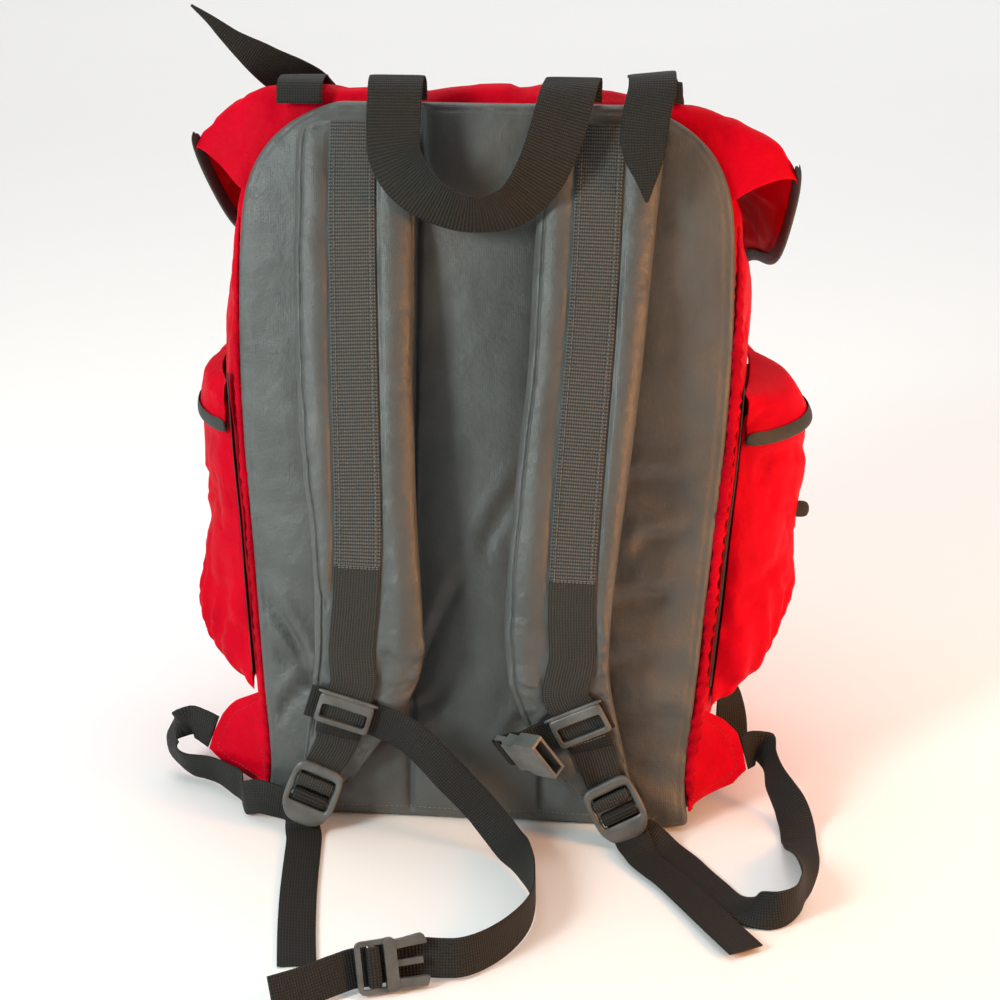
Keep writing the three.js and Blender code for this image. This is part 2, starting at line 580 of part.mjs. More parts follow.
// Haul loop: shares of its half span, of its rise or drop, and of its stand-off
const HAUL = table("x h d turn tilt", [
  [-1.00, 0.05, 0.14, 0, 0], [-1.00, 0.75, 0.20, 0, 0], [-1.00, 1.00, 0.48, 0, 0], [-0.99, 0.60, 0.76, 0, 0],
  [-0.99, -0.16, 0.88, 2, 0], [-0.96, -0.50, 0.96, 12, 8], [-0.74, -0.77, 1.00, 38, 26], [-0.38, -0.95, 0.96, 68, 44],
  [0.00, -1.00, 0.92, 90, 50], [0.37, -0.92, 0.96, 114, 44], [0.66, -0.65, 1.00, 140, 26],
  [0.84, -0.28, 0.96, 160, 8], [0.93, 0.05, 0.88, 172, 0], [0.97, 0.62, 0.76, 180, 0], [1.00, 1.00, 0.48, 180, 0],
  [1.00, 0.75, 0.20, 180, 0], [1.00, 0.05, 0.14, 180, 0],
]);

function haulGeometry() {
  const radians = THREE.MathUtils.degToRad;
  return webbing(smooth(HAUL.map(({ x, h, d, turn, tilt }) => {
    const height = PANEL_HEIGHT + h * (h > 0 ? HAUL_RISE : HAUL_DROP);
    const [a, b] = [radians(turn), radians(tilt)];
    return {
      p: onPanel(x * HAUL_HALF_SPAN, height, d * HAUL_STAND_OFF),
      across: direction(Math.cos(a) * Math.cos(b), Math.sin(a) * Math.cos(b), Math.sin(b)),
      width: HAUL_WEBBING,
    };
  }), 2));
}

// Lid: an outline across the back, carried forward by a table of steps
const LID_OUTLINE = table("s x z", [
  [-1.00, -0.995, -0.71], [-0.88, -0.955, -0.43], [-0.74, -0.870, -0.16], [-0.62, -0.760, 0.00], [-0.45, -0.560, 0.02],
  [-0.22, -0.270, -0.04], [0.00, 0.000, 0.00], [0.22, 0.270, 0.04], [0.42, 0.480, -0.07], [0.60, 0.680, -0.25],
  [0.74, 0.860, -0.39], [0.88, 0.985, -0.64], [1.00, 1.025, -1.00],
]);
const LID_STEPS = table("w across top hem", [
  [0.030, 1.000, 0.000, 0.000], [0.130, 1.000, 0.055, 0.130], [0.300, 0.985, 0.160, 0.330], [0.520, 0.965, 0.290, 0.560],
  [0.740, 0.940, 0.430, 0.760], [0.910, 0.910, 0.570, 0.900], [1.010, 0.880, 0.700, 0.985], [1.065, 0.860, 0.840, 1.040],
  [1.085, 0.850, 0.960, 1.080], [1.090, 0.848, 1.040, 1.120],
]);
function lidPoint(s, w, step) {
  const [x, z] = ["x", "z"].map((name) => read(LID_OUTLINE, "s", s, name));
  const drop = LID_FALL * mix(step.top, step.hem, Math.abs(s) ** 4);
  const fade = 1 - 0.75 * THREE.MathUtils.smoothstep(step.w, 0.5, 1.1);
  const height = LID_CREST + z * LID_SAG * fade - drop;
  return V(x * LID_HALF_WIDTH * step.across, rearY(height) + w, height);
}

const LID_ACROSS = [-1, -0.945, -0.86, -0.74, -0.62, -0.45, -0.22, 0, 0.22, 0.42, 0.6, 0.74, 0.86, 0.945, 1];

function lidGrid() {
  const panelEdge = (s, grow) => {
    const angle = (1 - Math.abs(s)) * Math.PI / 2;
    const h = PANEL_HEIGHT * mix(0.885, 1, Math.sin(angle) ** 0.8) + grow;
    const top = Math.min(h / PANEL_HEIGHT, 1);
    const half = Math.abs(s) < 0.5 ? PANEL_HALF_WIDTH * 0.6 * Math.abs(s) / 0.5 : panelHalf(top * PANEL_HEIGHT);
    return [Math.sign(s) * half, h];
  };
  const seam = LID_ACROSS.map((s) => {
    const [x, h] = panelEdge(s, 1.5);
    return onPanel(x * (1 + (BAG_MARGIN + 2.5) / PANEL_HALF_WIDTH), h, GAP + LID_CLOTH / 2);
  });
  const tuck = LID_ACROSS.map((s) => {
    const [x, h] = panelEdge(s, -LID_TUCK);
    return onPanel(x * 0.94, h, GAP + LID_CLOTH / 2);
  });
  const rest = LID_STEPS.map((step) => LID_ACROSS.map((s) => lidPoint(s, step.w * BAG_DEPTH, step)));
  return [tuck, seam, ...rest];
}

function lidBindingGeometry(grid) {
  const [last, cols] = [grid.length - 1, grid[0].length - 1];
  const rows = Array.from({ length: last - 2 }, (_, k) => k + 2);
  const across = Array.from({ length: cols - 1 }, (_, k) => k + 1);
  return binding(grid, [
    ...rows.map((i) => [i, 0, i, 1]), [last, 0, last - 1, 1], ...across.map((j) => [last, j, last - 1, j]),
    [last, cols, last - 1, cols - 1], ...rows.reverse().map((i) => [i, cols, i, cols - 1]),
  ], LID_CLOTH);
}

// A point over the lid at a share across it and a share of the steps forward
function overLid(s, w, height) {
  const columns = ["across", "top", "hem"];
  const stepAt = (b) => ({ w: b, ...Object.fromEntries(columns.map((name) => [name, read(LID_STEPS, "w", b, name)])) });
  const at = (a, b) => lidPoint(a, b * BAG_DEPTH, stepAt(b));
  const p = at(s, w);
  const along = at(s, w + 0.01).sub(at(s, w - 0.01));
  const across = at(s + 0.02, w).sub(at(s - 0.02, w)).normalize();
  const normal = across.clone().cross(along).normalize();
  return { p: p.addScaledVector(normal, height), across, normal, along: along.normalize() };
}

const LID_STRAPS = table("side s", [[-1, -0.50], [1, 0.49]]);
const LID_LOCK_W = 0.52;

function lidLockMatrix(side) {
  const { s } = LID_STRAPS.find((row) => row.side === side);
  const height = LID_LIFT + 2 * (WEBBING + GAP) + LOCK_THICKNESS / 2;
  const { p, normal, along } = overLid(s, LID_LOCK_W, height);
  return facing(p, along, normal);
}

// Free ends of the lid straps: the left one stands up, the right one hangs over the pad
const LID_TAIL_LEFT = table("x y z ax ay az width", [
  [-0.660, 0.27, -0.20, 0.9, 0.3, 0.2, 1.0], [-0.735, 0.20, 0.00, 0.8, 0.4, 0.45, 0.9],
  [-0.800, 0.16, 0.22, 0.65, 0.4, 0.65, 0.72], [-0.880, 0.14, 0.48, 0.55, 0.4, 0.7, 0.42],
  [-0.950, 0.13, 0.74, 0.55, 0.4, 0.7, 0.2], [-1.010, 0.13, 0.92, 0.55, 0.4, 0.7, 0.05],
]);
const LID_TAIL_RIGHT = table("x h d width", [
  [0.640, 0.30, 0.33, 1.0], [0.648, 0.27, 0.74, 1.0], [0.648, 0.12, 0.93, 1.0], [0.632, -0.10, 0.98, 1.0],
  [0.622, -0.40, 1.00, 1.0], [0.630, -0.62, 1.00, 0.75], [0.636, -0.80, 1.00, 0.4], [0.640, -1.00, 1.00, 0.06],
]);
// Sewn end of a lid strap: shares of the haul loop's rise and of the panel's front
const LID_ROOT = table("rise d", [[0.06, 0.46], [0.50, 0.49], [0.94, 0.32]]);

function lidStrap(side) {
  const { s } = LID_STRAPS.find((row) => row.side === side);
  const lock = lidLockMatrix(side);
  const over = (w, height) => ({ ...overLid(s, w, height), width: WIDE_WEBBING });
  const crest = overLid(s, 0.03, 0).p;
  const root = LID_ROOT.map(({ rise, d }) => {
    const h = panelTop(Math.abs(crest.x) - WIDE_WEBBING / 2 - 1) + rise * HAUL_RISE;
    return { p: onPanel(crest.x, h, d * PANEL_FRONT), across: V(1, 0, 0), width: WIDE_WEBBING };
  });
  const wrap = move(lockWrap(lockBarB, WIDE_WEBBING, -lockHeight / 2 - 6, 1, -lockHeight / 2 - 5, 0), lock);
  const under = [0.06, 0.13, 0.22].map((w) => over(w, LID_LIFT));
  const back = [0.24, 0.15].map((w) => over(w, LID_LIFT + 3));
  const tail = side < 0
    ? LID_TAIL_LEFT.map(({ x, y, z, ax, ay, az, width }) => ({
      p: V(x * LID_HALF_WIDTH, rearY(LID_CREST) + y * BAG_DEPTH, LID_CREST + z * LID_TAIL_RISE), across: V(ax, ay, az),
      width: width * WIDE_WEBBING }))
    : LID_TAIL_RIGHT.map(({ x, h, d, width }) => ({
      p: onPanel(x * PANEL_HALF_WIDTH, PANEL_HEIGHT + h * LID_TAIL_DROP, d * LID_TAIL_STAND_OFF), across: V(1, 0, 0.1),
      width: width * WIDE_WEBBING }));
  const after = side < 0 ? [] : back;
  return webbing([...smooth([...root, ...under, wrap[0]], 2), ...wrap.slice(1, -1),
    ...smooth([wrap[wrap.length - 1], ...after, ...tail], 2)]);
}

// Height of the panel's top edge at a place across it
function panelTop(x) {
  const rows = PANEL_OUTLINE.filter((row) => row.h > 0.68);
  for (let i = rows.length - 1; i > 0; i -= 1) {
    const [a, b] = [rows[i], rows[i - 1]];
    const share = Math.abs(x) / PANEL_HALF_WIDTH;
    if (share <= a.half) return a.h * PANEL_HEIGHT;
    if (share <= b.half) return PANEL_HEIGHT * mix(a.h, b.h, (share - a.half) / (b.half - a.half));
  }
  return rows[0].h * PANEL_HEIGHT;
}

// Depth of the bag's front at a place across it
function bagFront(x, z) {
  const arc = bagRing(z).slice(0, BAG_ARC + 1);
  let best = 0;
  for (let i = 0; i < BAG_ARC; i += 1) {
    const [a, b] = [arc[i], arc[i + 1]];
    if ((x - a.x) * (x - b.x) <= 0) best = Math.max(best, mix(a.y, b.y, (x - a.x) / (b.x - a.x || 1)));
  }
  return best;
}

function frontStrap(side) {
  const { s } = LID_STRAPS.find((row) => row.side === side);
  const x = overLid(s, 1.05, 0).p.x;
  const lock = lidLockMatrix(side);
  const reach = WIDE_WEBBING / 2;
  const onFront = (z, off) => {
    const across = onBag(x + reach, bagFront(x + reach, z), z).sub(onBag(x - reach, bagFront(x - reach, z), z));
    return { p: onBag(x, bagFront(x, z) + off, z), across, width: WIDE_WEBBING };
  };
  const start = TRAY_HEIGHT + GAP + 1;
  const low = [start, ...[0.14, 0.25, 0.36, 0.47, 0.58, 0.625].map((share) => share * BAG_HEIGHT)].map((z) => onFront(z, 2.2));
  const lidUp = [1.09, 1.065, 1.01, 0.91, 0.8, 0.7].map((w) => ({ ...overLid(s, w, LID_LIFT + 1.5), width: WIDE_WEBBING }));
  const wrap = move(lockWrap(lockBarA, WIDE_WEBBING, lockHeight / 2 + 6, 0, lockHeight / 2 - 3, 1), lock);
  lidUp.forEach((stop) => stop.across.set(1, 0, 0));
  return webbing([...smooth([...low, ...lidUp, wrap[0]], 2), ...wrap.slice(1)]);
}

// Side pockets: bulge along the pocket and up it, as shares
const POCKET_UP = table("v left right", [
  [0.00, 0.00, 0.00], [0.03, 0.58, 0.42], [0.09, 0.90, 0.70], [0.18, 0.98, 0.82], [0.32, 0.88, 0.88], [0.46, 0.75, 0.87],
  [0.56, 0.70, 0.79], [0.66, 0.72, 0.86], [0.80, 0.66, 0.97], [0.92, 0.52, 0.80], [1.00, 0.38, 0.62],
]);
const FLAP_DOWN = table("f bulge", [[0, 0], [0.10, 0.55], [0.22, 0.86], [0.38, 1.0], [1, 1.0]]);
const POCKET_COLUMNS = [0, 0.03, 0.09, 0.2, 0.34, 0.5, 0.66, 0.8, 0.91, 0.97, 1];
const bulgeAt = (side, v) => (side < 0 ? POCKET_BULGE_LEFT * read(POCKET_UP, "v", v, "left")
  : POCKET_BULGE_RIGHT * read(POCKET_UP, "v", v, "right"));
const along = (u) => Math.sin(Math.PI * Math.min(Math.max(u, 0), 1)) ** 0.55;

function pocketPoint(side, u, z, offset, margin) {
  const w = mix(POCKET_REAR - margin, POCKET_REAR + POCKET_LENGTH + margin, u);
  const seat = Math.abs(bagSide(side, w, z)) + GAP + POCKET_CLOTH / 2 + 0.3;
  return onBag(side * (seat + offset), w, z);
}

function pocketGrid(side) {
  return POCKET_UP.map(({ v }) => POCKET_COLUMNS.map((u) =>
    pocketPoint(side, u, POCKET_BOTTOM + v * POCKET_HEIGHT, bulgeAt(side, v) * along(u), 0)));
}

function flapGrid(side) {
  const hem = 1 - LID_HEM_TURN / FLAP_DROP;
  return [0, 0.1, 0.22, 0.4, hem, 1].map((f) => {
    const z = FLAP_TOP - f * FLAP_DROP;
    const bulge = 1.04 * bulgeAt(side, (z - POCKET_BOTTOM) / POCKET_HEIGHT) * read(FLAP_DOWN, "f", f, "bulge");
    return POCKET_COLUMNS.map((u) => pocketPoint(side, u, z, FLAP_EASE * Math.min(1, 8 * f) + bulge * along(u), 4));
  });
}

function flapBinding(side) {
  const grid = flapGrid(side);
  const last = grid.length - 1;
  return binding(grid, grid[last].map((_, j) => [last, j, last - 1, j]), POCKET_CLOTH);
}

function pocketTape(side) {
  return webbing(smooth([0.09, 0.2, 0.4, 0.6, 0.8, 0.95, 1.1].map((v) => {
    const z = POCKET_BOTTOM + v * POCKET_HEIGHT;
    const at = (w) => onBag(side * (Math.abs(bagSide(side, w, z)) + 0.5 + TAPE_THICKNESS), w, z);
    return { p: at(5), across: at(8).sub(at(2)), width: 7 };
  }), 1), TAPE_THICKNESS);
}

function pocketTab() {
  const z = POCKET_BOTTOM + 0.58 * POCKET_HEIGHT;
  const at = (out) => pocketPoint(1, 0.5, z, bulgeAt(1, 0.58) + out, 0);
  const stops = [0.28 * TAB_REACH, 0.62 * TAB_REACH, TAB_REACH];
  return webbing(stops.map((out) => ({ p: at(out), across: V(0, 0, 1), width: TAB_WIDTH })), 2);
}

// Red wings at the base corners: how far the edge stands out and how high, as shares
const WING_EDGE = table("v reach z", [[0, 0.04, 0.00], [0.3, 1.0, 0.27], [0.7, 0.62, 0.72], [1, 0.08, 1.0]]);

function wingEdge(side, v, share = 1) {
  const z = mix(WING_BOTTOM, WING_TOP, read(WING_EDGE, "v", v, "z"));
  const wall = Math.max(...[z, TRAY_HEIGHT].map((level) => Math.abs(bagSide(side, WING_W, level))));
  const inner = wall + GAP + TRAY_CLOTH + 2 * GAP + 0.6;
  const reach = (side < 0 ? 1 : RIGHT_WING_SHARE) * WING_REACH * read(WING_EDGE, "v", v, "reach");
  return onBag(side * (inner + share * Math.max(reach, 1)), WING_W + share * WING_DEPTH, z);
}

const wingGrid = (side) => range(6).map((v) => range(3).map((share) => wingEdge(side, v, share)));

// Lower straps: from a wing, in a loose loop, to the lock and out again as a free end. Places
// across are shares of the panel's half-width, and heights and rises are shares of the webbing's width
const LEFT_LOOP = table("x w z ax ay az", [
  [-1.241, 0.56, 1.76, -0.3, 0.1, -0.95], [-1.322, 0.68, 1.40, -0.6, 0.6, -0.5], [-1.333, 0.66, 0.80, -0.5, 0.8, -0.3],
  [-1.253, 0.56, 0.48, -0.15, 0.5, -0.85], [-1.138, 0.42, 0.52, 0, 0.3, -0.95], [-1.034, 0.16, 0.54, 0, 0.1, -1],
  [-0.989, 0.04, 0.54, 0, 0, -1], [-0.954, -0.24, 0.54, 0, 0, -1],
]);
const LEFT_CORNER = table("x h d ax ay az", [
  [-0.891, 0.56, 0.332, 0, -1, 0], [-0.816, 0.50, 0.502, 0.35, -0.94, 0], [-0.747, 0.40, 0.604, 0.8, -0.6, 0],
]);
const LEFT_TAIL = table("x reach z", [
  [-0.695, 0.094, 0.168], [-0.678, 0.15, 0.044], [-0.667, 0.22, 0.044], [-0.649, 0.36, 0.044], [-0.621, 0.56, 0.044],
  [-0.580, 0.80, 0.044], [-0.540, 1.00, 0.044],
]);
const RIGHT_LOOP = table("x reach z ax ay az", [
  [1.180, -0.50, 1.60, 0.1, 0, -1], [1.230, -0.33, 1.00, -0.5, 0.4, -0.75], [1.287, -0.22, 0.52, -0.85, 0.3, -0.4],
  [1.316, -0.10, 0.16, -1, 0.1, 0], [1.322, 0.05, 0.05, -1, 0, 0], [1.328, 0.24, 0.12, -0.95, 0, 0.3],
  [1.328, 0.46, 0.34, -0.6, 0, 0.8], [1.316, 0.68, 0.52, -0.1, 0, 1], [1.282, 0.85, 0.52, 0, 0, 1],
  [1.218, 0.93, 0.50, 0, 0.2, 1], [1.149, 0.91, 0.36, 0.1, 0.6, 0.75], [1.092, 0.84, 0.13, 0.3, 0.95, 0.2],
  [1.023, 0.71, 0.044, 0.75, 0.66, 0], [0.908, 0.46, 0.044, 0.82, 0.57, 0], [0.793, 0.22, 0.044, 0.82, 0.57, 0],
]);
const RIGHT_TAIL = table("x reach z", [
  [0.684, 0.24, 0.168], [0.724, 0.32, 0.136], [0.810, 0.45, 0.128], [0.920, 0.66, 0.136], [1.017, 0.86, 0.176],
  [1.092, 1.00, 0.168],
]);

function lowerStrap(side) {
  const lock = lowerLockMatrix(side);
  const edge = [wingEdge(side, 0.3), wingEdge(side, 0.7)];
  const hem = edge[1].clone().sub(edge[0]).normalize();
  const out = V(side, 0, 0).addScaledVector(hem, -side * hem.x).normalize();
  const sewn = edge[0].clone().lerp(edge[1], 0.45).addScaledVector(out, 2.4);
  const first = { p: sewn, across: edge[0].clone().sub(edge[1]), width: NARROW_WEBBING };
  const stop = (p, across) => ({ p, across, width: NARROW_WEBBING });
  const [atX, atZ] = [(r) => r.x * PANEL_HALF_WIDTH, (r) => r.z * NARROW_WEBBING];
  const atCorner = (r) => onPanel(atX(r), r.h * NARROW_WEBBING, PANEL_FRONT + r.d * LOCK_LIFT);
  const loop = side < 0
    ? [...LEFT_LOOP.map((r) => stop(onBag(atX(r), r.w * LEFT_LOOP_REACH, atZ(r)), V(r.ax, r.ay, r.az))),
      ...LEFT_CORNER.map((r) => stop(atCorner(r), direction(r.ax, r.ay, r.az)))]
    : RIGHT_LOOP.map((r) => stop(onGround(atX(r), r.reach * LOOP_REACH, atZ(r)), V(r.ax, r.ay, r.az)));
  const wrap = move(lockWrap(lockBarB, NARROW_WEBBING, -lockHeight / 2 + 8, 1, -lockHeight / 2 + 5, 0), lock);
  const entry = wrap[0].p.clone();
  if (side < 0) {
    const [up, deep] = [V(0, 1, 0), V(0, 0, -1)].map((v) => v.transformDirection(lock));
    wrap[0].p.addScaledVector(deep, 3.4);
    wrap.splice(1, 0, { ...wrap[0], p: entry.addScaledVector(up, 8) });
  }
  const [rows, reach] = side < 0 ? [LEFT_TAIL, LEFT_TAIL_REACH] : [RIGHT_TAIL, RIGHT_TAIL_REACH];
  const lay = side < 0 ? V(1, -0.1, 0) : V(0.8, 0.6, 0);
  const tail = rows.map((r) => stop(onGround(atX(r), r.reach * reach, atZ(r)), lay));
  return webbing([...aboveGround(smooth([first, ...loop, wrap[0]], 2)), ...wrap.slice(1, -1),
    ...aboveGround(smooth([wrap[wrap.length - 1], ...tail], 2))]);
}

// Side-release buckle, lying along local X with its open end towards +X
function maleGeometry() {
  const [half, end] = [BUCKLE_WIDTH / 2, BUCKLE_LENGTH / 2];
  const base = plate([[0.1 * end, -half], [0.1 * end, half], [-end, half], [-end, -half]], 3.4, 4);
  const core = plate([[0.12 * end, -half], [0.12 * end, half], [-0.22 * end, half], [-0.22 * end, -half]], MALE_THICKNESS, 3);
  const slot = (x) => block(5.5, NARROW_WEBBING + 2, 9, x, 0, 0);
  const tine = (y) => plate([[end, 0.62 * y], [end * 0.9, y], [0.3 * end, 0.9 * y], [0, 0.9 * y], [0, 0.55 * y], [0.5 * end, 0.6 * y]],
    MALE_THICKNESS - 1, 1.5);
  const prong = block(0.85 * end, 4, 3, 0.42 * end, 0, 0);
  return fromSolid(base.add(core).subtract(slot(-17)).subtract(slot(-7.6)).add(tine(half)).add(tine(-half)).add(prong));
}

function femaleGeometry() {
  const [half, end] = [BUCKLE_WIDTH / 2, BUCKLE_LENGTH / 2];
  const ladder = plate([[-0.4 * end, -0.8 * half], [-0.4 * end, 0.8 * half], [-end, 0.86 * half], [-end, -0.86 * half]], 4, 2);
  const shell = plate([[end, -half, 2], [end, half, 2], [0.1 * end, half], [-0.1 * end, 0.72 * half], [-0.55 * end, 0.84 * half],
    [-0.55 * end, -0.84 * half], [-0.1 * end, -0.72 * half], [0.1 * end, -half]], FEMALE_THICKNESS, 2);
  const mouth = block(1.1 * end, 2 * half - 5, FEMALE_THICKNESS - 4, 0.5 * end, 0, 0);
  return fromSolid(ladder.add(shell).subtract(mouth).subtract(block(4.6, NARROW_WEBBING + 0.8, 9, -0.78 * end, 0, 0)));
}

// The male half stands on its edge on the ground, the female half hangs in front of the right pad
const groundMatrix = facing(
  onGround(-0.172 * PANEL_HALF_WIDTH, 0.822 * CHEST_REACH, BUCKLE_WIDTH / 2 + 0.5), V(-0.14, 0.35, 0.93), V(0.344, -0.865, 0.377));
const femaleMatrix = facing(
  onPanel(0.224 * PANEL_HALF_WIDTH, 0.1206 * PANEL_HEIGHT, CHEST_STAND_OFF), direction(-0.48, 0.77, 0.38), direction(-0.49, -0.64, 0.58));

// Chest strap: loose from the left slider to the ground, on its edge round the bend, to the buckle.
// Places are shares of the panel's half-width and height, of the reach and of the webbing's width
const CHEST_AIR = table("x h d ax ay az", [
  [-0.241, 0.1354, 0.933, 0.52, 0.85, 0.1], [-0.080, 0.0850, 1.000, 0.66, 0.75, 0.05], [0.040, 0.0425, 0.981, 0.7, 0.7, 0.1],
]);
const CHEST_GROUND = table("x reach z ax ay az", [
  [0.172, 0.18, 0.44, 0.5, 0.35, 0.8], [0.247, 0.29, 0.512, 0.25, 0.15, 0.97], [0.290, 0.40, 0.52, 0, 0, 1],
  [0.287, 0.52, 0.52, 0, 0, 1], [0.236, 0.62, 0.52, -0.05, 0.1, 1], [0.149, 0.71, 0.528, -0.08, 0.2, 0.97],
  [0.057, 0.765, 0.58, -0.12, 0.3, 0.95],
]);
const CHEST_END = table("x reach z", [[-0.379, 0.875, 0.60], [-0.471, 0.915, 0.52], [-0.575, 0.96, 0.50]]);

function chestStrap() {
  const slider = sliderMatrix(-1);
  const male = groundMatrix;
  const strip = (p, across) => ({ p, across, width: NARROW_WEBBING });
  const local = (x) => strip(V(x, 0, UNDER_LAYER).applyMatrix4(slider), V(0, 1, 0).transformDirection(slider));
  const inAir = (r) => onPanel(r.x * PANEL_HALF_WIDTH, r.h * PANEL_HEIGHT, r.d * CHEST_STAND_OFF);
  const laid = (r) => onGround(r.x * PANEL_HALF_WIDTH, r.reach * CHEST_REACH, r.z * NARROW_WEBBING);
  const air = CHEST_AIR.map((r) => strip(inAir(r), direction(r.ax, r.ay, r.az)));
  const ground = CHEST_GROUND.map((r) => strip(laid(r), V(r.ax, r.ay, r.az)));
  const under = -MALE_THICKNESS / 2 - GAP - WEBBING / 2;
  const over = 1.7 + GAP + WEBBING / 2;
  const weave = [[22, under], [-9.2, under], [-9.2, over], [-15.3, over], [-15.3, under], [-26, under]].map(([x, z]) => (
    strip(V(x, 0, z).applyMatrix4(male), V(0, 1, 0).transformDirection(male))));
  const end = CHEST_END.map((r) => strip(laid(r), V(-0.14, 0.35, 0.93)));
  return webbing([...aboveGround(smooth([local(-27), local(0), local(24), ...air, ...ground, weave[0]], 2)), ...weave.slice(1, -1),
    ...aboveGround(smooth([weave[5], ...end], 2))]);
}

function shortStrap() {
  const slider = sliderMatrix(1);
  const strip = (p, across) => ({ p, across, width: NARROW_WEBBING - 1 });
  const local = (x) => strip(V(x, 0, UNDER_LAYER).applyMatrix4(slider), V(0, 1, 0).transformDirection(slider));
  const buckle = [[-9, -7.2], [-13.6, -7.2], [-19, -3.7], [-24.7, -2.6], [-24.7, 2.6], [-21, 3.3], [-18.6, 2.2], [-18.6, -0.6]].map(([x, z]) => (
    strip(V(x, 0, z).applyMatrix4(femaleMatrix), V(0, 1, 0).transformDirection(femaleMatrix))));
  return webbing([...smooth([local(21), local(0), local(-21), buckle[0]], 2), ...buckle.slice(1)]);
}

// Webbing tail that hangs from under the right pocket to the ground
const SIDE_TAIL = table("out z ax ay", [
  [0.0, 0.93, 0, 1], [1.5, 0.82, 0.04, 1], [14, 0.62, 0.6, 0.7], [22, 0.35, 0.9, 0.35], [23, 0.02, 0.9, 0.2],
]);

function sideTail() {
  const w = 0.5 * BAG_DEPTH;
  const side = (at, z) => bagSide(1, at, Math.max(z, TRAY_HEIGHT));
  const seat = (z) => side(w, z) + 3 * GAP + WEBBING / 2;
  return webbing(aboveGround(smooth(SIDE_TAIL.map((row) => {
    const z = row.z * POCKET_BOTTOM;
    const slope = (side(w + 12, z) - side(w - 12, z)) / 24;
    return { p: onBag(seat(z) + row.out, w, z), across: V(row.ax + slope * row.ay, row.ay, 0), width: NARROW_WEBBING };
  }), 2)));
}

// Assembly
const pack = new THREE.Group();
const back = new THREE.Group();
back.applyMatrix4(panelMatrix);
pack.add(back);

function piece(parent, name, geometry, material, matrix) {
  const mesh = new THREE.Mesh(geometry, material);
  mesh.name = name;
  if (matrix) mesh.applyMatrix4(matrix);
  parent.add(mesh);
}

piece(pack, "main_bag", bagGeometry(), RED);
piece(pack, "base_tray", trayGeometry(), BLACK);
piece(back, "back_panel", panelGeometry(), CHARCOAL);
piece(pack, "haul_loop", haulGeometry(), WEB);
const lid = lidGrid();
piece(pack, "lid", sheet(lid, LID_CLOTH), RED);
piece(pack, "lid_binding", lidBindingGeometry(lid), BLACK);
for (const side of [-1, 1]) {
  const name = (word) => `${word}_${side < 0 ? "left" : "right"}`;
  piece(back, name("shoulder_pad"), padGeometry(padRows(side)), CHARCOAL);
  piece(pack, name("pad_webbing"), padWebbing(side), WEB);
  piece(pack, name("ladder_lock"), lockGeometry(NARROW_WEBBING + 1), PLASTIC, lowerLockMatrix(side));
  piece(pack, name("slider"), sliderGeometry(), PLASTIC, sliderMatrix(side));
  piece(pack, name("lower_strap"), lowerStrap(side), WEB);
  piece(pack, name("corner_wing"), sheet(wingGrid(side), WING_CLOTH), RED);
  piece(pack, name("side_pocket"), sheet(pocketGrid(side), POCKET_CLOTH), RED);
  piece(pack, name("pocket_flap"), sheet(flapGrid(side), POCKET_CLOTH), RED);
  piece(pack, name("pocket_binding"), flapBinding(side), BLACK);
  piece(pack, name("pocket_tape"), pocketTape(side), BLACK);
  piece(pack, name("lid_lock"), lockGeometry(WIDE_WEBBING), PLASTIC, lidLockMatrix(side));
  piece(pack, name("lid_strap"), lidStrap(side), WEB);
  piece(pack, name("front_strap"), frontStrap(side), WEB);
}
piece(pack, "pocket_tab_right", pocketTab(), BLACK);
piece(pack, "side_strap_right", sideTail(), WEB);
piece(pack, "chest_buckle_male", maleGeometry(), PLASTIC, groundMatrix);
piece(pack, "chest_buckle_female", femaleGeometry(), PLASTIC, femaleMatrix);
piece(pack, "chest_strap", chestStrap(), WEB);
piece(pack, "chest_strap_short", shortStrap(), WEB);

export default pack;
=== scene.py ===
# Looks of a hiking rucksack that stands on its base, its webbing laid on the ground before it.
# Everything is in metres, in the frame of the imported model: +Z up, back panel towards -Y.
import math

import bmesh
import bpy
import numpy as np
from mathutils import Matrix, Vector, noise
from mathutils.bvhtree import BVHTree
from mathutils.kdtree import KDTree


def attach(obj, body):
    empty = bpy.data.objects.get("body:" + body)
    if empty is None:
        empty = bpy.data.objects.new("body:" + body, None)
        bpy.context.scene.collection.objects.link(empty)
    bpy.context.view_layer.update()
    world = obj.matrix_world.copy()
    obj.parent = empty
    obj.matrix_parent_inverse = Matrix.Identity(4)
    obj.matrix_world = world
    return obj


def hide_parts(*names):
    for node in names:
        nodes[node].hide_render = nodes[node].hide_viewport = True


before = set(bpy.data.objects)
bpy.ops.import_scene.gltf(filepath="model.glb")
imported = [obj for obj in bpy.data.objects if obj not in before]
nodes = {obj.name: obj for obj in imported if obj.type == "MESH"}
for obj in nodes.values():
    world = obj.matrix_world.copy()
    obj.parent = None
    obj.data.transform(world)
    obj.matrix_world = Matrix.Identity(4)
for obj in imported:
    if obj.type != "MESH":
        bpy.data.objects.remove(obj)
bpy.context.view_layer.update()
MM = 0.001
LEAN = math.radians(12)
REAR_Y = -0.1
FORWARD = np.array((0, -math.cos(LEAN), math.sin(LEAN)))
UPWARD = np.array((0, math.sin(LEAN), math.cos(LEAN)))
PANEL_SEAM = 0.047  # the panel's two sewn channels lie this far from its middle
SIDES = (("left", -1), ("right", 1))
STITCH_WIDTH, STITCH_HEIGHT = 0.0006, 0.0004
SEATED, EASE = 0.0006, 0.009  # cloth this near another piece stays, and past the second moves freely
SWELL_FRAMES, SWELL_PRESSURE = 20, 14.0
TAB_STRETCH = 0.008  # the tab's stem reaches this much further in, to the pocket
PIPING_SPAN = (0.012, 0.425)
PIPING_RADIUS = {"left": 0.0030, "right": 0.0046}

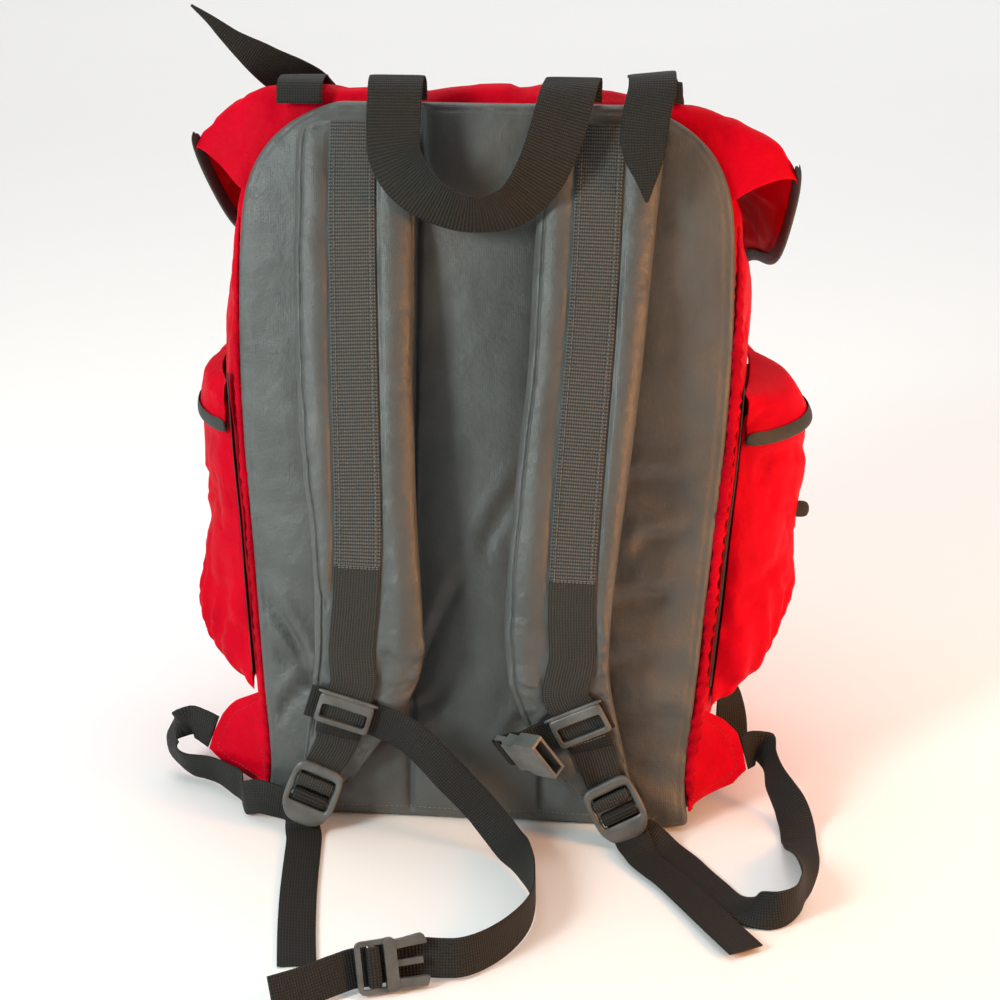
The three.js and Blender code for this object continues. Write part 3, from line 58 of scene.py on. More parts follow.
# Camera at the photograph's angle
target = Vector((0.0140, -0.0635, 0.2294))
camera = bpy.data.objects.new("camera", bpy.data.cameras.new("camera"))
bpy.context.scene.collection.objects.link(camera)
camera.location = (0.1368, -1.4677, 0.7425)
camera.rotation_euler = (target - camera.location).to_track_quat("-Z", "Y").to_euler()
camera.data.lens = 77.14
camera.data.sensor_width = 36
camera.data.clip_end = 50
bpy.context.scene.camera = camera
bpy.context.scene.view_settings.view_transform = "Standard"


# Numbers and noise
def smoothstep(x, low, high):
    t = np.clip((x - low) / (high - low), 0, 1)
    return t * t * (3 - 2 * t)


def gauss(x, width):
    return np.exp(-((x / width) ** 2))


def value_noise(points, scale, octaves, seed, ridged=False):
    """Noise at each point; scale is cycles per metre along X, Y and Z."""
    scale = np.broadcast_to(np.array(scale, float), (3,))
    q = points * scale + np.array((seed, 1.7 * seed, -2.3 * seed))
    if ridged:
        return np.array([noise.ridged_multi_fractal(Vector(p), 1.0, 2.1, octaves, 1.0, 2.0) for p in q])
    return np.array([noise.fractal(Vector(p), 1.0, 2.1, octaves) for p in q])


def running(points):
    """Length along a line of points, at each point."""
    return np.concatenate(([0], np.cumsum(np.maximum(np.linalg.norm(np.diff(points, axis=0), axis=1), 1e-9))))


def ridges(points, scale, seed, octaves=3, above=1.05):
    """Narrow ridges: the part of ridged noise that rises above a level."""
    return np.maximum(value_noise(points, scale, octaves, seed, ridged=True) - above, 0)


def to_panel(p):
    """World points as x, height up the back panel and depth in front of its rear plane."""
    y, z = p[:, 1] - REAR_Y, p[:, 2]
    h = y * math.sin(LEAN) + z * math.cos(LEAN)
    d = -y * math.cos(LEAN) + z * math.sin(LEAN)
    return np.stack((p[:, 0], h, d), axis=1)


def from_panel(x, h, d):
    y = REAR_Y + h * math.sin(LEAN) - d * math.cos(LEAN)
    return Vector((x, y, h * math.cos(LEAN) + d * math.sin(LEAN)))


# Meshes
def coords(mesh):
    co = np.zeros(len(mesh.vertices) * 3)
    mesh.vertices.foreach_get("co", co)
    return co.reshape(-1, 3)


def set_coords(mesh, co):
    mesh.vertices.foreach_set("co", co.astype(np.float32).ravel())
    mesh.update()


def normals(mesh):
    n = np.zeros(len(mesh.vertices) * 3)
    mesh.vertices.foreach_get("normal", n)
    return n.reshape(-1, 3)


def add_object(name, mesh, material):
    obj = bpy.data.objects.new(name, mesh)
    bpy.context.scene.collection.objects.link(obj)
    mesh.materials.clear()
    mesh.materials.append(material)
    mesh.polygons.foreach_set("use_smooth", [True] * len(mesh.polygons))
    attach(obj, "root")
    return obj


def bake(obj):
    """Applies the modifiers of an object to its mesh."""
    graph = bpy.context.evaluated_depsgraph_get()
    made = bpy.data.meshes.new_from_object(obj.evaluated_get(graph), depsgraph=graph)
    obj.modifiers.clear()
    obj.data = made
    made.polygons.foreach_set("use_smooth", [True] * len(made.polygons))
    return obj


def refined(node, name, material, levels=3, simple=False):
    """A finer, rounder copy of a CAD node that stands for it."""
    bm = bmesh.new()
    bm.from_mesh(nodes[node].data)
    bmesh.ops.remove_doubles(bm, verts=bm.verts, dist=1e-6)
    bmesh.ops.join_triangles(bm, faces=bm.faces, angle_face_threshold=1.2, angle_shape_threshold=3.1)
    mesh = bpy.data.meshes.new(name)
    bm.to_mesh(mesh)
    bm.free()
    obj = add_object(name, mesh, material)
    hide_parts(node)
    mod = obj.modifiers.new("round", "SUBSURF")
    mod.levels = mod.render_levels = levels
    if simple:
        mod.subdivision_type = "SIMPLE"
    return bake(obj)


def displace(obj, offsets):
    set_coords(obj.data, coords(obj.data) + offsets)


def crease(p, a, b, width, depth, bend):
    """Depth at each point of a soft groove from a to b, with a low ridge beside it; p has two columns."""
    a, b = np.array(a, float), np.array(b, float)
    line = b - a
    length = np.linalg.norm(line)
    t = ((p - a) @ line) / length**2
    side = (p - a) @ np.array((-line[1], line[0])) / length - bend * np.sin(np.clip(t, 0, 1) * math.pi)
    ends = smoothstep(t, -0.05, 0.2) * (1 - smoothstep(t, 0.8, 1.05))
    return -depth * ends * gauss(side, width) + 0.5 * depth * ends * gauss(side - 1.8 * width, width)


# Materials
def material(name, color, roughness, sheen, specular=0.5):
    m = bpy.data.materials.new(name)
    m.use_nodes = True
    tree = m.node_tree
    shader = tree.nodes["Principled BSDF"]
    shader.inputs["Base Color"].default_value = (*color, 1)
    shader.inputs["Roughness"].default_value = roughness
    shader.inputs["Sheen Weight"].default_value = sheen
    shader.inputs["Sheen Roughness"].default_value = 0.45
    shader.inputs["Specular IOR Level"].default_value = specular
    m.diffuse_color = (*color, 1)
    return m, tree, shader


class Nodes:
    """Short calls for building a node tree."""

    def __init__(self, tree):
        self.tree = tree

    def add(self, kind):
        return self.tree.nodes.new(kind)

    def link(self, a, b):
        self.tree.links.new(a, b)

    def math(self, operation, a, b=None):
        node = self.add("ShaderNodeMath")
        node.operation = operation
        for i, v in enumerate((a, b)):
            if v is None:
                continue
            if isinstance(v, (int, float)):
                node.inputs[i].default_value = v
            else:
                self.link(v, node.inputs[i])
        return node.outputs[0]

    def coords(self, kind="Object"):
        return self.add("ShaderNodeTexCoord").outputs[kind]

    def noise(self, vector, scale, detail=3.0, roughness=0.55):
        node = self.add("ShaderNodeTexNoise")
        node.inputs["Scale"].default_value = scale
        node.inputs["Detail"].default_value = detail
        node.inputs["Roughness"].default_value = roughness
        self.link(vector, node.inputs["Vector"])
        return node.outputs["Fac"]

    def wave(self, vector, period, axis):
        """A smooth 0 to 1 wave along X, Y or Z with a period in metres."""
        split = self.add("ShaderNodeSeparateXYZ")
        self.link(vector, split.inputs[0])
        phase = self.math("MULTIPLY", split.outputs["XYZ".index(axis)], 2 * math.pi / period)
        return self.math("MULTIPLY_ADD", self.math("SINE", phase), 0.5)

    def ramp(self, factor, stops):
        node = self.add("ShaderNodeValToRGB")
        while len(node.color_ramp.elements) < len(stops):
            node.color_ramp.elements.new(0.5)
        for element, (at, color) in zip(node.color_ramp.elements, stops):
            element.position = at
            element.color = (*color, 1)
        self.link(factor, node.inputs["Fac"])
        return node.outputs["Color"]

    def bump(self, height, strength, distance, normal=None):
        node = self.add("ShaderNodeBump")
        node.inputs["Strength"].default_value = strength
        node.inputs["Distance"].default_value = distance
        self.link(height, node.inputs["Height"])
        if normal is not None:
            self.link(normal, node.inputs["Normal"])
        return node.outputs["Normal"]


def shades(color, spread):
    return [tuple(min(1, c * k) for c in color) for k in (1 - spread, 1, 1 + spread)]


def cloth_material(name, color, roughness, weave, depth, crinkle, spread, specular):
    """Woven cloth: threads with a period and depth in metres, crinkles, and a spread of colour."""
    m, tree, shader = material(name, color, roughness, 0.0, specular)
    n = Nodes(tree)
    at = n.coords()
    low, mid, high = shades(color, spread)
    n.link(n.ramp(n.noise(at, 26, 5), [(0.3, low), (0.5, mid), (0.72, high)]), shader.inputs["Base Color"])
    x, z = n.wave(at, weave, "X"), n.wave(at, weave, "Z")
    threads = n.math("ADD", n.math("MULTIPLY", x, z), n.math("MULTIPLY", n.noise(at, 1500, 1), 0.5))
    first = n.bump(threads, 0.6, depth)
    second = n.bump(n.noise(at, 90, 5, 0.6), crinkle, 0.003, first)
    n.link(second, shader.inputs["Normal"])
    rough = n.math("MULTIPLY_ADD", n.noise(at, 40, 4), 0.25)
    rough.node.inputs[2].default_value = roughness - 0.12
    n.link(rough, shader.inputs["Roughness"])
    return m


def webbing_material(name, color, rib, cross, depth, lengthwise):
    """Woven tape: UV x is metres across, UV y metres along. Ribs lie across it, cords along it."""
    m, tree, shader = material(name, color, 0.66, 0.0, 0.3)
    n = Nodes(tree)
    uv = n.coords("UV")
    at = n.coords()
    along, across = n.wave(uv, rib, "Y"), n.wave(uv, cross, "X")
    # The colour follows the weave's relief, darker in the gaps between ribs and cords and lighter on their
    # tops. This is partly the tape's own woven look and partly painted shade and painted highlight.
    low, mid, high = tuple(0.3 * c for c in color), color, tuple(1.9 * c for c in color)
    speck = n.noise(at, 1900, 2)
    beads = n.math("MULTIPLY", n.math("POWER", along, 0.7), n.math("POWER", across, 0.7))
    lines = n.math("ADD", n.math("MULTIPLY", along, 1 - lengthwise), n.math("MULTIPLY", across, lengthwise))
    weave = n.math("ADD", n.math("MULTIPLY", lines, 0.45), n.math("MULTIPLY", beads, 0.55))
    n.link(n.ramp(n.math("ADD", n.math("MULTIPLY", weave, 0.6), n.math("MULTIPLY", speck, 0.4)),
                  [(0.22, low), (0.5, mid), (0.8, high)]), shader.inputs["Base Color"])
    first = n.bump(weave, 0.9, depth)
    n.link(n.bump(n.noise(at, 120, 3), 0.25, 0.001, first), shader.inputs["Normal"])
    return m


def plastic_material(name, color):
    m, tree, shader = material(name, color, 0.36, 0.0, 0.5)
    n = Nodes(tree)
    at = n.coords()
    low, mid, high = shades(color, 0.25)
    n.link(n.ramp(n.noise(at, 55, 5), [(0.35, low), (0.5, mid), (0.7, high)]), shader.inputs["Base Color"])
    rough = n.math("MULTIPLY_ADD", n.noise(at, 300, 4), 0.3)
    rough.node.inputs[2].default_value = 0.22
    n.link(rough, shader.inputs["Roughness"])
    n.link(n.bump(n.noise(at, 900, 2), 0.12, 0.0004), shader.inputs["Normal"])
    return m


RED = cloth_material("red_pack_cloth", (0.56, 0.0006, 0.0130), 0.55, 0.0011, 0.0001, 0.4, 0.14, 0.04)
# The gathered edge uses the red cloth made darker. The darkening is painted shade of its folds and of the
# recess beside the panel.
RED_SHADED_EDGE = cloth_material("red_gathered_cloth_painted_shade", (0.46, 0.0006, 0.0110), 0.6, 0.0011, 0.0001, 0.9, 0.3, 0.04)
CHARCOAL = cloth_material("charcoal_pack_cloth", (0.080, 0.086, 0.082), 0.44, 0.0012, 0.00016, 0.4, 0.16,
                          0.5)
BLACK = cloth_material("black_tape_cloth", (0.018, 0.019, 0.018), 0.6, 0.001, 0.0002, 0.35, 0.25, 0.35)
TAPE = cloth_material("binding_tape_cloth", (0.040, 0.042, 0.038), 0.6, 0.0012, 0.0002, 0.3, 0.25, 0.3)
WEB_RIBBED = webbing_material("ribbed_webbing", (0.076, 0.079, 0.074), 0.0024, 0.0016, 0.0007, 0.25)
WEB_LONG = webbing_material("corded_webbing", (0.034, 0.035, 0.031), 0.0011, 0.0019, 0.0005, 0.7)
WEB_FINE = webbing_material("fine_webbing", (0.015, 0.015, 0.013), 0.0018, 0.0019, 0.0005, 0.25)
WEB_HAUL = webbing_material("haul_webbing", (0.020, 0.020, 0.016), 0.0021, 0.0013, 0.0007, 0.3)
PLASTIC = plastic_material("moulded_plastic", (0.105, 0.111, 0.106))
THREAD = material("thread", (0.16, 0.16, 0.15), 0.7, 0.1)[0]
RED_THREAD = material("red_thread", (0.36, 0.004, 0.012), 0.7, 0.1)[0]


# Room: how far each point is from the other CAD pieces
def tree_of(names):
    verts, faces = [], []
    for name in names:
        mesh = nodes[name].data
        start = len(verts)
        verts += [tuple(v) for v in coords(mesh)]
        faces += [tuple(start + i for i in f.vertices) for f in mesh.polygons]
    return BVHTree.FromPolygons(verts, faces)


def room(points, node, most):
    """Distance in metres from each point to the nearest other CAD piece, up to the most that counts."""
    tree = tree_of([n for n in nodes if n != node])
    found = [tree.find_nearest(Vector(p), most)[3] for p in points]
    return np.array([most if away is None else away for away in found])


# Stitches
STITCHES = {"dark": [], "red": []}


def stitch_row(points, up, gap, length, thread="dark"):
    """Stitches along a line of points, each lying on the face whose direction up gives there."""
    points, up = np.array(points), np.array(up)
    t = running(points)
    for s in np.arange(gap / 2, t[-1], gap):
        p = np.array([np.interp(s, t, points[:, k]) for k in range(3)])
        q = np.array([np.interp(s + 0.0005, t, points[:, k]) for k in range(3)])
        n = np.array([np.interp(s, t, up[:, k]) for k in range(3)])
        if np.linalg.norm(q - p) > 1e-7:
            STITCHES[thread].append((Vector(p), Vector(q - p).normalized(), Vector(n).normalized(), length))


def make_stitches(name, thread, look):
    verts, faces = [], []
    for p, a, n, length in STITCHES[thread]:
        side = n.cross(a).normalized()
        up = a.cross(side).normalized()
        base = len(verts)
        for along, wide, high in ((-0.5, 0.5, 0.1), (-0.28, 1, 1), (0.28, 1, 1), (0.5, 0.5, 0.1)):
            c = p + a * (along * length)
            w = side * (STITCH_WIDTH / 2 * wide)
            rise = up * STITCH_HEIGHT * high
            verts += [c - w, c - w * 0.5 + rise, c + w * 0.5 + rise, c + w]
        for i in range(3):
            for j in range(3):
                k = base + i * 4 + j
                faces.append((k, k + 1, k + 5, k + 4))
        faces += [(base + 3, base + 2, base + 1, base), (base + 12, base + 13, base + 14, base + 15)]
    mesh = bpy.data.meshes.new(name)
    mesh.from_pydata([tuple(v) for v in verts], [], faces)
    mesh.update()
    return add_object(name, mesh, look)


# Webbing
def cycle(group, near):
    out = [group[0]]
    while len(out) < len(group):
        out.append(next(v for v in group if v in near[out[-1]] and v not in out))
    return out


def rings(node):
    """Rings of four corners along a CAD webbing, as an array of rings, corners and X, Y, Z."""
    bm = bmesh.new()
    bm.from_mesh(nodes[node].data)
    bmesh.ops.remove_doubles(bm, verts=bm.verts, dist=1e-6)
    near = {v: {e.other_vert(v) for e in v.link_edges} for v in bm.verts}
    start = max((v for v in bm.verts if len(near[v]) == 4), key=lambda v: v.co.z)
    ring = cycle(sorted(near[start], key=lambda v: tuple(v.co)), near)
    seen = {start, *ring}
    out = [[tuple(v.co) for v in ring]]
    while True:
        group = sorted({w for v in ring for w in near[v]} - seen, key=lambda v: tuple(v.co))
        if len(group) != 4:
            break
        turned = cycle(group, near)
        orders = (turned, turned[::-1])
        turns = [[order[(i + k) % 4] for i in range(4)] for order in orders for k in range(4)]
        ring = min(turns, key=lambda t: sum((a.co - b.co).length for a, b in zip(ring, t)))
        seen.update(ring)
        out.append([tuple(v.co) for v in ring])
    bm.free()
    out = np.array(out)
    wide, thin = (np.linalg.norm(out[:, k + 1] - out[:, k], axis=1).mean() for k in (0, 1))
    if wide < thin:
        out = np.roll(out, -1, axis=1)
    return out


def spline(t, values, at):
    """Smooth values at the stations at; values has one row for each t."""
    slope = np.gradient(values, t, axis=0)
    i = np.clip(np.searchsorted(t, at, side="right") - 1, 0, len(t) - 2)
    gap = (t[i + 1] - t[i])[:, None]
    u = ((at - t[i]) / (t[i + 1] - t[i]))[:, None]
    return ((2 * u**3 - 3 * u**2 + 1) * values[i] + (u**3 - 2 * u**2 + u) * gap * slope[i]
            + (-2 * u**3 + 3 * u**2) * values[i + 1] + (u**3 - u**2) * gap * slope[i + 1])


def grid_mesh(name, rows, uv=None, caps=True):
    """Mesh of rows of points, each row a closed loop, with flat ends."""
    n, m = rows.shape[:2]
    faces = []
    for i in range(n - 1):
        for j in range(m):
            k = (j + 1) % m
            faces.append((i * m + j, i * m + k, (i + 1) * m + k, (i + 1) * m + j))
    if caps:
        half = m // 2
        for base, flip in ((0, True), ((n - 1) * m, False)):
            for j in range(half - 1):
                quad = (base + j, base + j + 1, base + m - 2 - j, base + m - 1 - j)
                faces.append(quad[::-1] if flip else quad)
    mesh = bpy.data.meshes.new(name)
    mesh.from_pydata(rows.reshape(-1, 3).tolist(), [], faces)
    if uv is not None:
        layer = mesh.uv_layers.new(name="UVMap")
        flat = uv.reshape(-1, 2)
        loops = np.zeros(len(mesh.loops), dtype=np.int32)
        mesh.loops.foreach_get("vertex_index", loops)
        layer.data.foreach_set("uv", flat[loops].astype(np.float32).ravel())
    mesh.update()
    return mesh


ROUTES = {}


def ribbon(node, look, step=0.003, across=8, rib=0.0, ribs=0.0, groove=None, past=None, second=None):
    """Fine webbing on a CAD webbing's route. rib is the height and ribs the period of real cross ribs,
    which end at the height past, where the look changes to the second one. groove is a sewn line's
    distance from each edge."""
    r = rings(node)
    left, right = (r[:, 0] + r[:, 3]) / 2, (r[:, 1] + r[:, 2]) / 2
    face = ((r[:, 2] + r[:, 3]) - (r[:, 0] + r[:, 1])) / 4
    middle = (left + right) / 2
    t = running(middle)
    count = max(int(t[-1] / step), 8)
    at = np.unique(np.concatenate((np.linspace(0, t[-1], count), t)))
    left, right, face = spline(t, left, at), spline(t, right, at), spline(t, face, at)
    width = np.linalg.norm(right - left, axis=1)
    u = np.sin(np.linspace(-math.pi / 2, math.pi / 2, across + 1) * 0.92) / math.sin(math.pi / 2 * 0.92)
    swell = 1 - 0.5 * np.abs(u) ** 10
    wave_along = np.sin(2 * math.pi * at / ribs) if ribs else np.zeros(len(at))
    stop = len(at)
    if past:
        stop = int(np.argmax((left[:, 2] + right[:, 2]) / 2 < past))
        wave_along = wave_along * (1 - smoothstep(at, at[stop] - 0.001, at[stop]))
    rows = np.zeros((len(at), 2 * (across + 1), 3))
    uv = np.zeros((len(at), 2 * (across + 1), 2))
    thick = np.linalg.norm(face, axis=1)
    for j, a in enumerate(u):
        cut = 0.45 * gauss((abs(a) * 0.5 - 0.5) * width.mean() + groove, 0.0008) if groove else 0
        reach = 1 + (0.0004 / width * wave_along if abs(a) > 0.98 else np.zeros(len(at)))
        where = (left + right) / 2 + (right - left) * (a / 2 * reach)[:, None]
        high = swell[j] * (1 - cut) + rib / thick * wave_along * (1 - 0.6 * cut)
        lift = face * high[:, None]
        rows[:, j], rows[:, -1 - j] = where + lift, where - lift
        uv[:, j, 0] = uv[:, -1 - j, 0] = a * width / 2
        uv[:, j, 1] = uv[:, -1 - j, 1] = at
    mesh = grid_mesh(node + "_weave", rows, uv)
    obj = add_object(node + "_weave", mesh, look)
    if past:
        mesh.materials.append(second)
        ring = rows.shape[1]
        for i in range((stop - 1) * ring, (len(at) - 1) * ring):
            mesh.polygons[i].material_index = 1
    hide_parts(node)
    ROUTES[node] = (at, left, right, face)
    return obj


def at_height(node, z):
    """Where a webbing's route passes a height, as a length along it."""
    at, left, right = ROUTES[node][:3]
    return at[np.argmax((left[:, 2] + right[:, 2]) / 2 < z)]


def on_route(node, length, across, lift=0.0):
    """A point on a webbing's face and the face's direction; across runs from -1 to 1."""
    at, *lines = ROUTES[node]
    a, b, half = (np.array([np.interp(length, at, line[:, k]) for k in range(3)]) for line in lines)
    up = half / np.linalg.norm(half)
    if up @ FORWARD < 0:
        up = -up
    return (a + b) / 2 + (b - a) * across / 2 + up * (np.linalg.norm(half) + lift), up


def route_stitches(node, start, end, across, gap=0.0031, length=0.0021, lift=0.0):
    """Stitches along a webbing, or across it where start and end are the same."""
    if start == end:
        made = [on_route(node, start, a, lift) for a in np.linspace(-across, across, 24)]
    else:
        made = [on_route(node, s, across, lift) for s in np.linspace(start, end, 80)]
    stitch_row([m[0] for m in made], [m[1] for m in made], gap, length)


def fold_bar(name, node, start, end, look):
    """A sewn fold of webbing on top of a webbing, between two lengths along it."""
    stops = np.linspace(start, end, 14)
    rows, uv = np.zeros((14, 14, 3)), np.zeros((14, 14, 2))
    for i, s in enumerate(stops):
        rise = 0.0013 * (0.55 + 0.45 * max(math.sin(math.pi * i / 13), 0) ** 0.4)
        for j in range(7):
            a = j / 3 - 1
            low, up = on_route(node, s, a, 0.00005)
            rows[i, 13 - j] = low
            rows[i, j] = low + up * rise * (1 - 0.25 * abs(a) ** 6)
            uv[i, j] = uv[i, 13 - j] = (a * 0.0125, s)
    obj = add_object(name, grid_mesh(name, rows, uv), look)
    bm = bmesh.new()
    bm.from_mesh(obj.data)
    bmesh.ops.recalc_face_normals(bm, faces=bm.faces)
    bm.to_mesh(obj.data)
    bm.free()
    return obj


# Padded pieces: the outline seen from the front gives each point its distance from the edge
def outline(points, slices=90):
    """Closed outline in x and height of points in the panel's frame, with its running length."""
    low, high = points[:, 1].min(), points[:, 1].max()
    heights = np.linspace(low, high, slices + 1)
    place = np.clip(((points[:, 1] - low) / (high - low) * slices).round().astype(int), 0, slices)
    known = np.unique(place)
    rows = [points[place == i, 0] for i in known]
    left, right = (np.interp(heights, heights[known], [side(r) for r in rows]) for side in (np.min, np.max))
    bottom = np.linspace(left[0], right[0], 24)
    top = np.linspace(right[-1], left[-1], 24)
    ring = np.concatenate((np.stack((bottom, np.full(24, low)), 1), np.stack((right, heights), 1),
                           np.stack((top, np.full(24, high)), 1), np.stack((left, heights), 1)[::-1]))
    length = running(ring)
    at = np.linspace(0, length[-1], 900)
    return np.stack([np.interp(at, length, ring[:, k]) for k in (0, 1)], 1), at


def from_edge(xh, ring, at):
    """Distance of each point from the outline, and the outline's running length there."""
    away, run = np.zeros(len(xh)), np.zeros(len(xh))
    for start in range(0, len(xh), 4000):
        part = xh[start:start + 4000]
        d = np.linalg.norm(part[:, None] - ring[None], axis=2)
        k = d.argmin(axis=1)
        away[start:start + 4000], run[start:start + 4000] = d[np.arange(len(part)), k], at[k]
    return away, run


def puckers(away, run, period, depth, reach, seed):
    """Gathers that run in from a sewn edge and die out."""

    def along(scale, offset):
        return np.array([noise.fractal(Vector((r * scale, seed + offset, 0)), 1.0, 2.0, 2) for r in run])

    wander = along(25, 0)
    strength = 0.6 + 0.5 * along(14, 9)
    waves = np.sin(2 * math.pi * run / period + 3 * wander)
    return depth * np.clip(strength, 0.1, 1.3) * gauss(away, reach) * waves


def lay_stitches(obj, xh, thread="dark"):
    """A row of stitches on the front of a piece, along a line of x and height."""
    tree = BVHTree.FromObject(obj, bpy.context.evaluated_depsgraph_get())
    points, ups = [], []
    for x, h in xh:
        start = from_panel(float(x), float(h), 0.12)
        hit, normal = tree.ray_cast(start, -Vector(FORWARD))[:2]
        if hit is not None:
            points.append(tuple(hit))
            ups.append(tuple(normal))
    if len(points) > 1:
        stitch_row(points, ups, 0.0036, 0.0024, thread)


def swell(obj, cap, voxel, held):
    """How each point of a padded piece moves when a cloth simulation fills its cover. Held points stay,
    and no point moves more than the cap."""
    points = coords(obj.data)
    scene = bpy.context.scene
    trial = bpy.data.objects.new("trial", obj.data.copy())
    scene.collection.objects.link(trial)
    remesh = trial.modifiers.new("remesh", "REMESH")
    remesh.mode = "VOXEL"
    remesh.voxel_size = voxel
    bake(trial)
    start = coords(trial.data)
    group = trial.vertex_groups.new(name="held")
    for i in np.nonzero(held(start))[0]:
        group.add([int(i)], 1.0, "REPLACE")
    cloth = trial.modifiers.new("cover", "CLOTH")
    settings = cloth.settings
    settings.quality = 5
    settings.mass = 0.3
    settings.use_pressure = True
    settings.uniform_pressure_force = SWELL_PRESSURE
    settings.tension_stiffness = settings.compression_stiffness = 5
    settings.shear_stiffness = 2
    settings.effector_weights.gravity = 0
    settings.vertex_group_mass = "held"
    cloth.collision_settings.use_self_collision = False
    for number in range(1, SWELL_FRAMES + 1):
        scene.frame_set(number)
    end = coords(trial.evaluated_get(bpy.context.evaluated_depsgraph_get()).data)
    scene.frame_set(1)
    move = end - start
    far = np.linalg.norm(move, axis=1)
    move *= (cap * np.tanh(far / cap) / np.maximum(far, 1e-9))[:, None]
    tree = KDTree(len(start))
    for i, p in enumerate(start):
        tree.insert(p, i)
    tree.balance()
    out = np.zeros_like(points)
    for i, p in enumerate(points):
        near = tree.find_n(p, 6)
        weight = np.array([1 / (d + 0.001) for _, _, d in near])
        out[i] = (move[[k for _, k, _ in near]] * weight[:, None]).sum(axis=0) / weight.sum()
    bpy.data.objects.remove(trial)
    return out


# The padded panel
panel = refined("back_panel", "back_panel_padded", CHARCOAL, 3)
p = coords(panel.data)
q = to_panel(p)
front = smoothstep(q[:, 2], 0.003, 0.008)
free = smoothstep(room(p, "back_panel", 0.012), SEATED, 0.005)
x, h = q[:, 0], q[:, 1]
xh = q[:, :2]
panel_ring, panel_run = outline(q)
away, run = from_edge(xh, panel_ring, panel_run)
soft = 0.0018 * value_noise(p, (16, 16, 9), 3, 3.0)
right_channel, left_channel = smoothstep(x, 0.05, 0.08), 1 - smoothstep(x, -0.125, -0.1)
lower = 1 - smoothstep(h, 0.2, 0.36)
tilted = p + np.stack((0 * x, 0 * x, 0.45 * x), axis=1)
soft += right_channel * (0.5 + lower) * 0.0048 * value_noise(tilted, (5, 5, 24), 2, 5.0)
soft += 0.0014 * left_channel * value_noise(p, (12, 12, 22), 3, 8.0)
soft -= (0.002 + 0.002 * lower) * right_channel * ridges(tilted, (6, 6, 22), 31.0, 2, 1.1)
soft -= (0.001 + 0.003 * lower) * left_channel * ridges(tilted, (9, 9, 18), 37.0, 2, 1.1)
soft += puckers(away, run, 0.019, 0.0007, 0.012, 4.0)
soft -= 0.0008 * gauss(away - 0.0055, 0.0010)
seam = np.abs(np.abs(x) - PANEL_SEAM)
soft -= 0.0045 * gauss(seam, 0.0022) * (1 - gauss(away, 0.006))
soft += 0.0010 * gauss(seam - 0.009, 0.007) * value_noise(p, (4, 4, 55), 2, 44.0)
for a, b, width, depth in (
    ((0.105, 0.200), (0.150, 0.212), 0.006, 0.0042), ((0.070, 0.150), (0.140, 0.168), 0.007, 0.0046),
    ((0.085, 0.115), (0.150, 0.128), 0.005, 0.0038), ((0.095, 0.245), (0.150, 0.250), 0.006, 0.0034),
    ((0.090, 0.070), (0.145, 0.085), 0.005, 0.0034), ((-0.150, 0.120), (-0.095, 0.080), 0.005, 0.0040),
    ((-0.155, 0.160), (-0.120, 0.105), 0.005, 0.0036), ((-0.145, 0.070), (-0.100, 0.110), 0.005, 0.0032),
    ((-0.080, 0.050), (-0.020, 0.090), 0.006, 0.0034), ((0.020, 0.060), (0.075, 0.100), 0.006, 0.0032),
    ((-0.045, 0.090), (-0.010, 0.180), 0.006, 0.0026), ((0.000, 0.190), (0.040, 0.260), 0.007, 0.0022),
):
    soft += crease(xh, a, b, 0.85 * width, 1.35 * depth, 0.003)


def panel_held(points):
    q = to_panel(points)
    edge = from_edge(q[:, :2], panel_ring, panel_run)[0]
    sewn = np.abs(np.abs(q[:, 0]) - PANEL_SEAM) < 0.004
    return sewn | (edge < 0.009) | (q[:, 2] < 0.006)


moved = swell(panel, 0.0035, 0.005, panel_held)
displace(panel, moved * free[:, None] + FORWARD * (soft * front * free)[:, None])
lay_stitches(panel, [(x, 0.0075) for x in np.linspace(-0.13, 0.13, 90)])


def panel_edge(sign, height):
    """How far out the panel's outline stands at a height, on one side."""
    ring = panel_ring[sign * panel_ring[:, 0] > 0.05]
    order = np.argsort(ring[:, 1])
    return float(np.interp(height, ring[order, 1], sign * ring[order, 0]))


def middle_line(q):
    """Heights and the middle of a pad's outline there."""
    levels = np.linspace(q[:, 1].min() + 0.002, q[:, 1].max() - 0.002, 40)
    rows = [q[np.abs(q[:, 1] - v) < 0.008, 0] for v in levels]
    return levels, [(r.min() + r.max()) / 2 for r in rows]


# Shoulder pads
for side in ("left", "right"):
    node = "shoulder_pad_" + side
    pad = refined(node, node + "_padded", CHARCOAL, 4)
    p = coords(pad.data)
    q = to_panel(p)
    n = normals(pad.data)
    free = smoothstep(room(p, node, 0.012), SEATED, 0.0045)
    seed = 11 if side == "left" else 17
    ring, length = outline(q, 60)
    away, run = from_edge(q[:, :2], ring, length)
    facing = np.clip(n @ FORWARD, 0, 1)
    low = 1 - smoothstep(q[:, 1], 0.10, 0.21)
    ahead = smoothstep(facing, 0.2, 0.7)
    soft = 0.0012 * value_noise(p, (22, 22, 11), 3, seed) * ahead
    soft += puckers(away, run, 0.0125, 0.0008, 0.007, seed + 2) * ahead * smoothstep(away, 0.003, 0.007)
    sewn = 1 - smoothstep(q[:, 0] - np.interp(q[:, 1], *middle_line(q)), -0.006, 0.002)
    soft -= 0.0016 * sewn * gauss(away - 0.0058, 0.0009) * ahead
    soft += 0.0016 * gauss(away - 0.015, 0.008) * ahead
    soft += (0.4 + low) * 0.0026 * value_noise(p, (16, 16, 40), 3, seed + 4) * ahead
    soft -= (0.6 + low) * 0.0030 * ridges(p, (19, 19, 26), seed + 6, 2) * ahead

    def pad_held(points, ring=ring, length=length, node=node):
        q = to_panel(points)
        edge = from_edge(q[:, :2], ring, length)[0]
        return (room(points, node, 0.004) < 0.0025) | (np.abs(edge - 0.006) < 0.002)

    moved = swell(pad, 0.004, 0.004, pad_held)
    displace(pad, moved * free[:, None] + n * (soft * free)[:, None])


